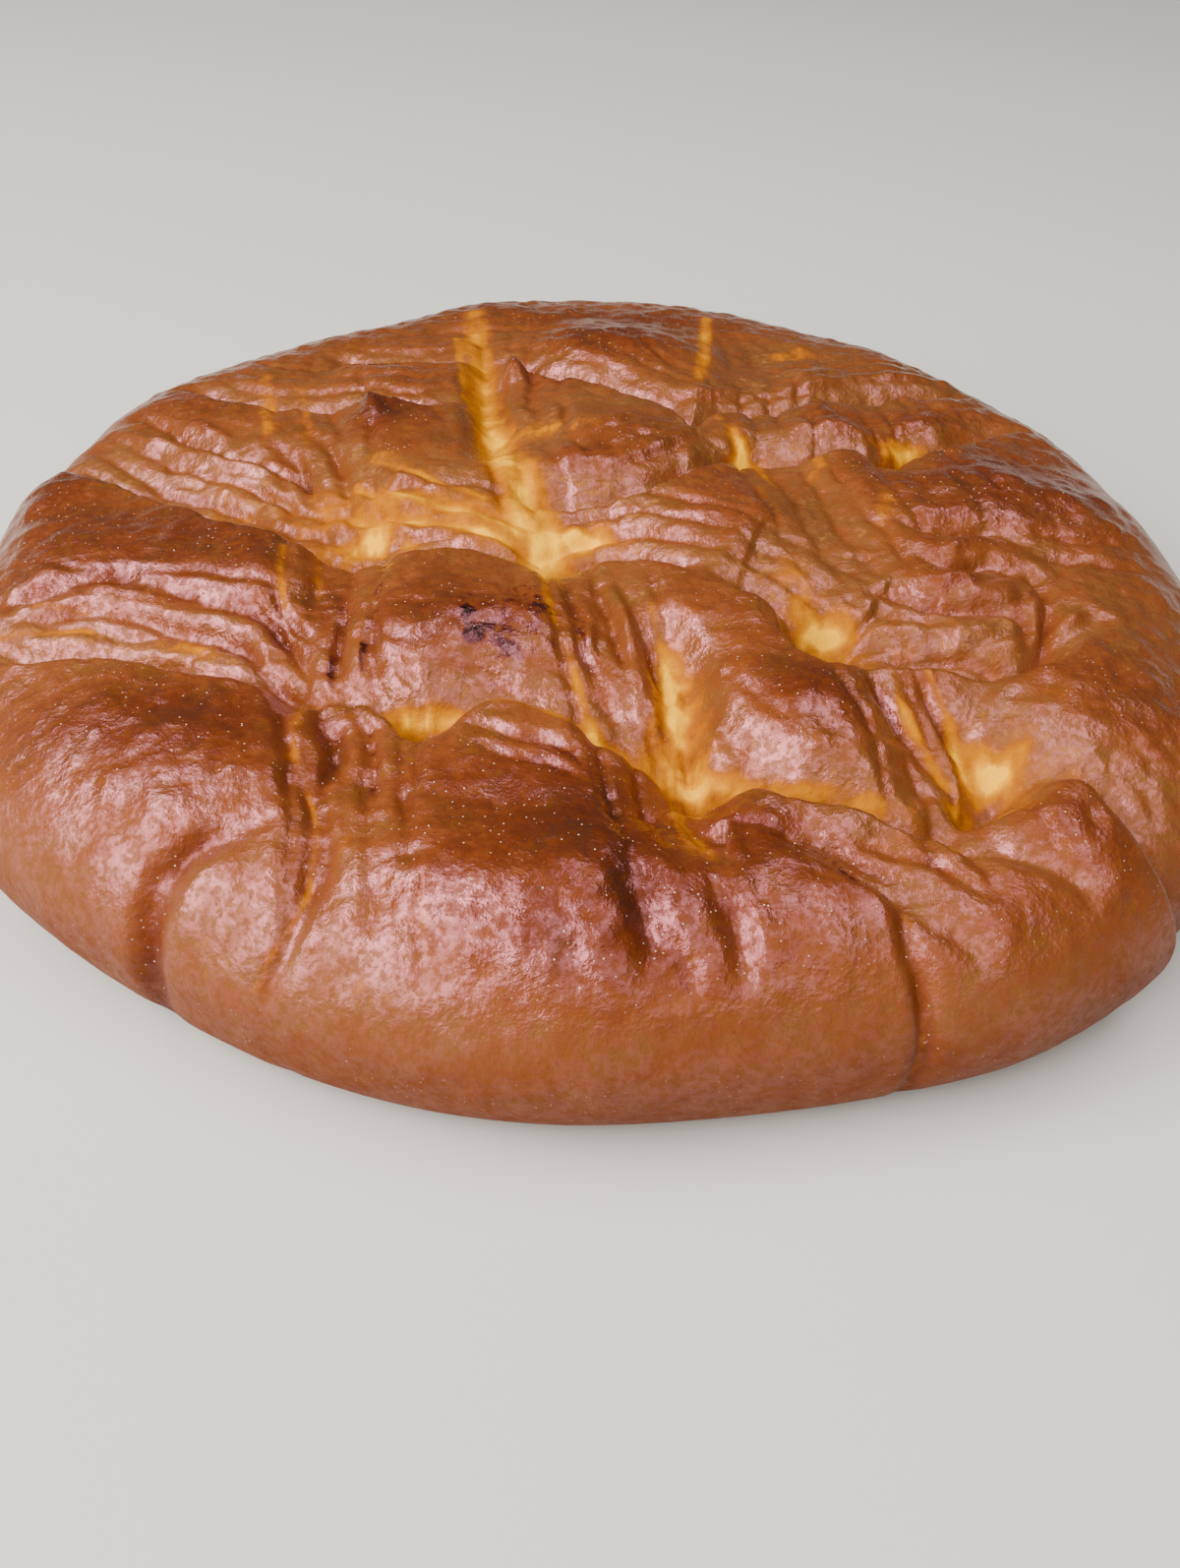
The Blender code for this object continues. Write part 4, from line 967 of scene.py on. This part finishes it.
# %% The whole material
def make_crust_material():
    """Egg-washed baked dough, from the amounts on the mesh and five noises."""
    material = bpy.data.materials.new("egg_washed_baked_dough")
    material.use_nodes = True
    tree = material.node_tree
    tree.nodes.clear()
    place = add_node(tree, "ShaderNodeTexCoord").outputs["Object"]
    gold, browning_and_shade, char, washed = (
        add_node(tree, "ShaderNodeAttribute", attribute_name=name).outputs["Fac"]
        for name in ("gold", "browning_and_shade", "char", "washed"))
    blotch, olive, mottle, pebble, grain = (
        add_node(tree, "ShaderNodeTexNoise",
                 {"Scale": 1 / (size * MM), "Detail": detail, "Roughness": 0.6},
                 {"Vector": place}).outputs["Fac"]
        for size, detail in ((BLOTCH_MM, 4.0), (OLIVE_MM, 5.0), (MOTTLE_MM, 4.0),
                             (PEBBLE_MM, 3.0), (GRAIN_MM, 2.0)))
    colour = brown_dough(tree, browning_and_shade, blotch, olive, mottle, pebble)
    colour = golden_dough(tree, colour, gold, mottle, pebble)
    colour = burnt_dough(tree, colour, char, pebble)
    colour, speck = specks_of_foam_and_glint(tree, colour, place, browning_and_shade, mottle)
    normal = skin_bumps(tree, mottle, pebble, grain, speck)
    specular, coat, dryness = wash_gloss(tree, washed, gold, olive, mottle, pebble)
    shader = add_node(tree, "ShaderNodeBsdfPrincipled",
                      {"IOR": CRUST_IOR, "Specular Tint": linear("#FF949C"),
                       "Coat Roughness": COAT_ROUGHNESS, "Coat IOR": WASH_IOR},
                      {"Base Color": colour, "Roughness": dryness, "Specular IOR Level": specular,
                       "Coat Weight": coat, "Normal": normal, "Coat Normal": normal})
    add_node(tree, "ShaderNodeOutputMaterial", links={"Surface": shader.outputs[0]})
    return material


crust_mesh.materials.clear()
crust_mesh.materials.append(make_crust_material())
print("materials on the crust:", [material.name for material in crust_mesh.materials])

# %% [markdown]
# ## The floor and the light
#
# A plain pale floor lets the bread's colour show. The gloss of the egg wash is only as good as
# what it mirrors, so four softboxes stand where slopes of different steepness look: a strong one
# at the front left like a window, one above the front, and two smaller ones higher up for the
# far folds. The flat tops mirror none of them and stay dark. A dim, cool surround fills the
# shadows.

# %% Floor, softboxes and world
FLOOR_HALF_WIDTH = 3.0
floor_mesh = bpy.data.meshes.new("floor")
corners = [(side_x * FLOOR_HALF_WIDTH, side_y * FLOOR_HALF_WIDTH, 0.0)
           for side_x, side_y in ((-1, -1), (1, -1), (1, 1), (-1, 1))]
floor_mesh.from_pydata(corners, [], [(0, 1, 2, 3)])
floor = bpy.data.objects.new("floor", floor_mesh)
bpy.context.scene.collection.objects.link(floor)
floor_paint = bpy.data.materials.new("matt_pale_paint")
floor_paint.use_nodes = True
paint = floor_paint.node_tree.nodes["Principled BSDF"]
paint.inputs["Base Color"].default_value = linear("#BFB9B0")
paint.inputs["Roughness"].default_value = 0.8
floor_mesh.materials.append(floor_paint)


# Each softbox has a place, a width and a depth in metres, and a power in watts.
Softbox = namedtuple("Softbox", "place width depth power")
SOFTBOXES = {
    "window_softbox": Softbox((-0.72, -0.50, 0.68), 1.05, 0.95, 33.0),
    "front_softbox": Softbox((0.25, -0.68, 0.82), 1.1, 0.8, 6.5),
    "left_top_softbox": Softbox((-0.55, -0.02, 0.80), 0.7, 0.6, 6.5),
    "right_top_softbox": Softbox((0.28, 0.02, 0.92), 0.7, 0.55, 5.5),
}
LOAF_MIDDLE = Vector((0.0, 0.0, 0.02))


def add_softbox(name, softbox):
    """A rectangular area light, turned towards the middle of the loaf."""
    light = bpy.data.lights.new(name, "AREA")
    light.shape = "RECTANGLE"
    light.size = softbox.width
    light.size_y = softbox.depth
    light.energy = softbox.power
    holder = bpy.data.objects.new(name, light)
    bpy.context.scene.collection.objects.link(holder)
    holder.location = softbox.place
    aim = LOAF_MIDDLE - Vector(softbox.place)
    holder.rotation_euler = aim.to_track_quat("-Z", "Y").to_euler()


for name, softbox in SOFTBOXES.items():
    add_softbox(name, softbox)
SURROUND_STRENGTH = 0.1
world = bpy.data.worlds.new("surround")
world.use_nodes = True
surround = world.node_tree.nodes["Background"]
surround.inputs["Color"].default_value = linear("#DCE2EA")
surround.inputs["Strength"].default_value = SURROUND_STRENGTH
bpy.context.scene.world = world

# %% [markdown]
# ## The camera
#
# The camera stands where a person leaning over the board would hold a phone: 170 mm above it,
# close to the loaf, looking down at 40 degrees and tilted by 2 degrees. Being so close is what
# makes the near side look so much larger than the far side.

# %% Camera
CAMERA_PLACE = (0.8, -234.2, 170.0)
CAMERA_PITCH = 40.38
CAMERA_ROLL = 2.0
SENSOR_HEIGHT = 36.0
FOCAL_LENGTH = 33.9
camera = bpy.data.cameras.new("camera")
camera.sensor_fit = "VERTICAL"
camera.sensor_height = SENSOR_HEIGHT
camera.lens = FOCAL_LENGTH
camera.clip_start = 0.01
viewer = bpy.data.objects.new("camera", camera)
bpy.context.scene.collection.objects.link(viewer)
tilt = Matrix.Rotation(np.radians(90 - CAMERA_PITCH), 4, "X")
roll = Matrix.Rotation(np.radians(CAMERA_ROLL), 4, "Z")
viewer.matrix_world = Matrix.Translation(Vector(CAMERA_PLACE) * MM) @ tilt @ roll
bpy.context.scene.camera = viewer
print("camera at", CAMERA_PLACE, "mm")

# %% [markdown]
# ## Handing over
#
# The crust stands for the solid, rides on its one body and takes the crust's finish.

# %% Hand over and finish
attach(crust, "root")
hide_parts(LOAF)
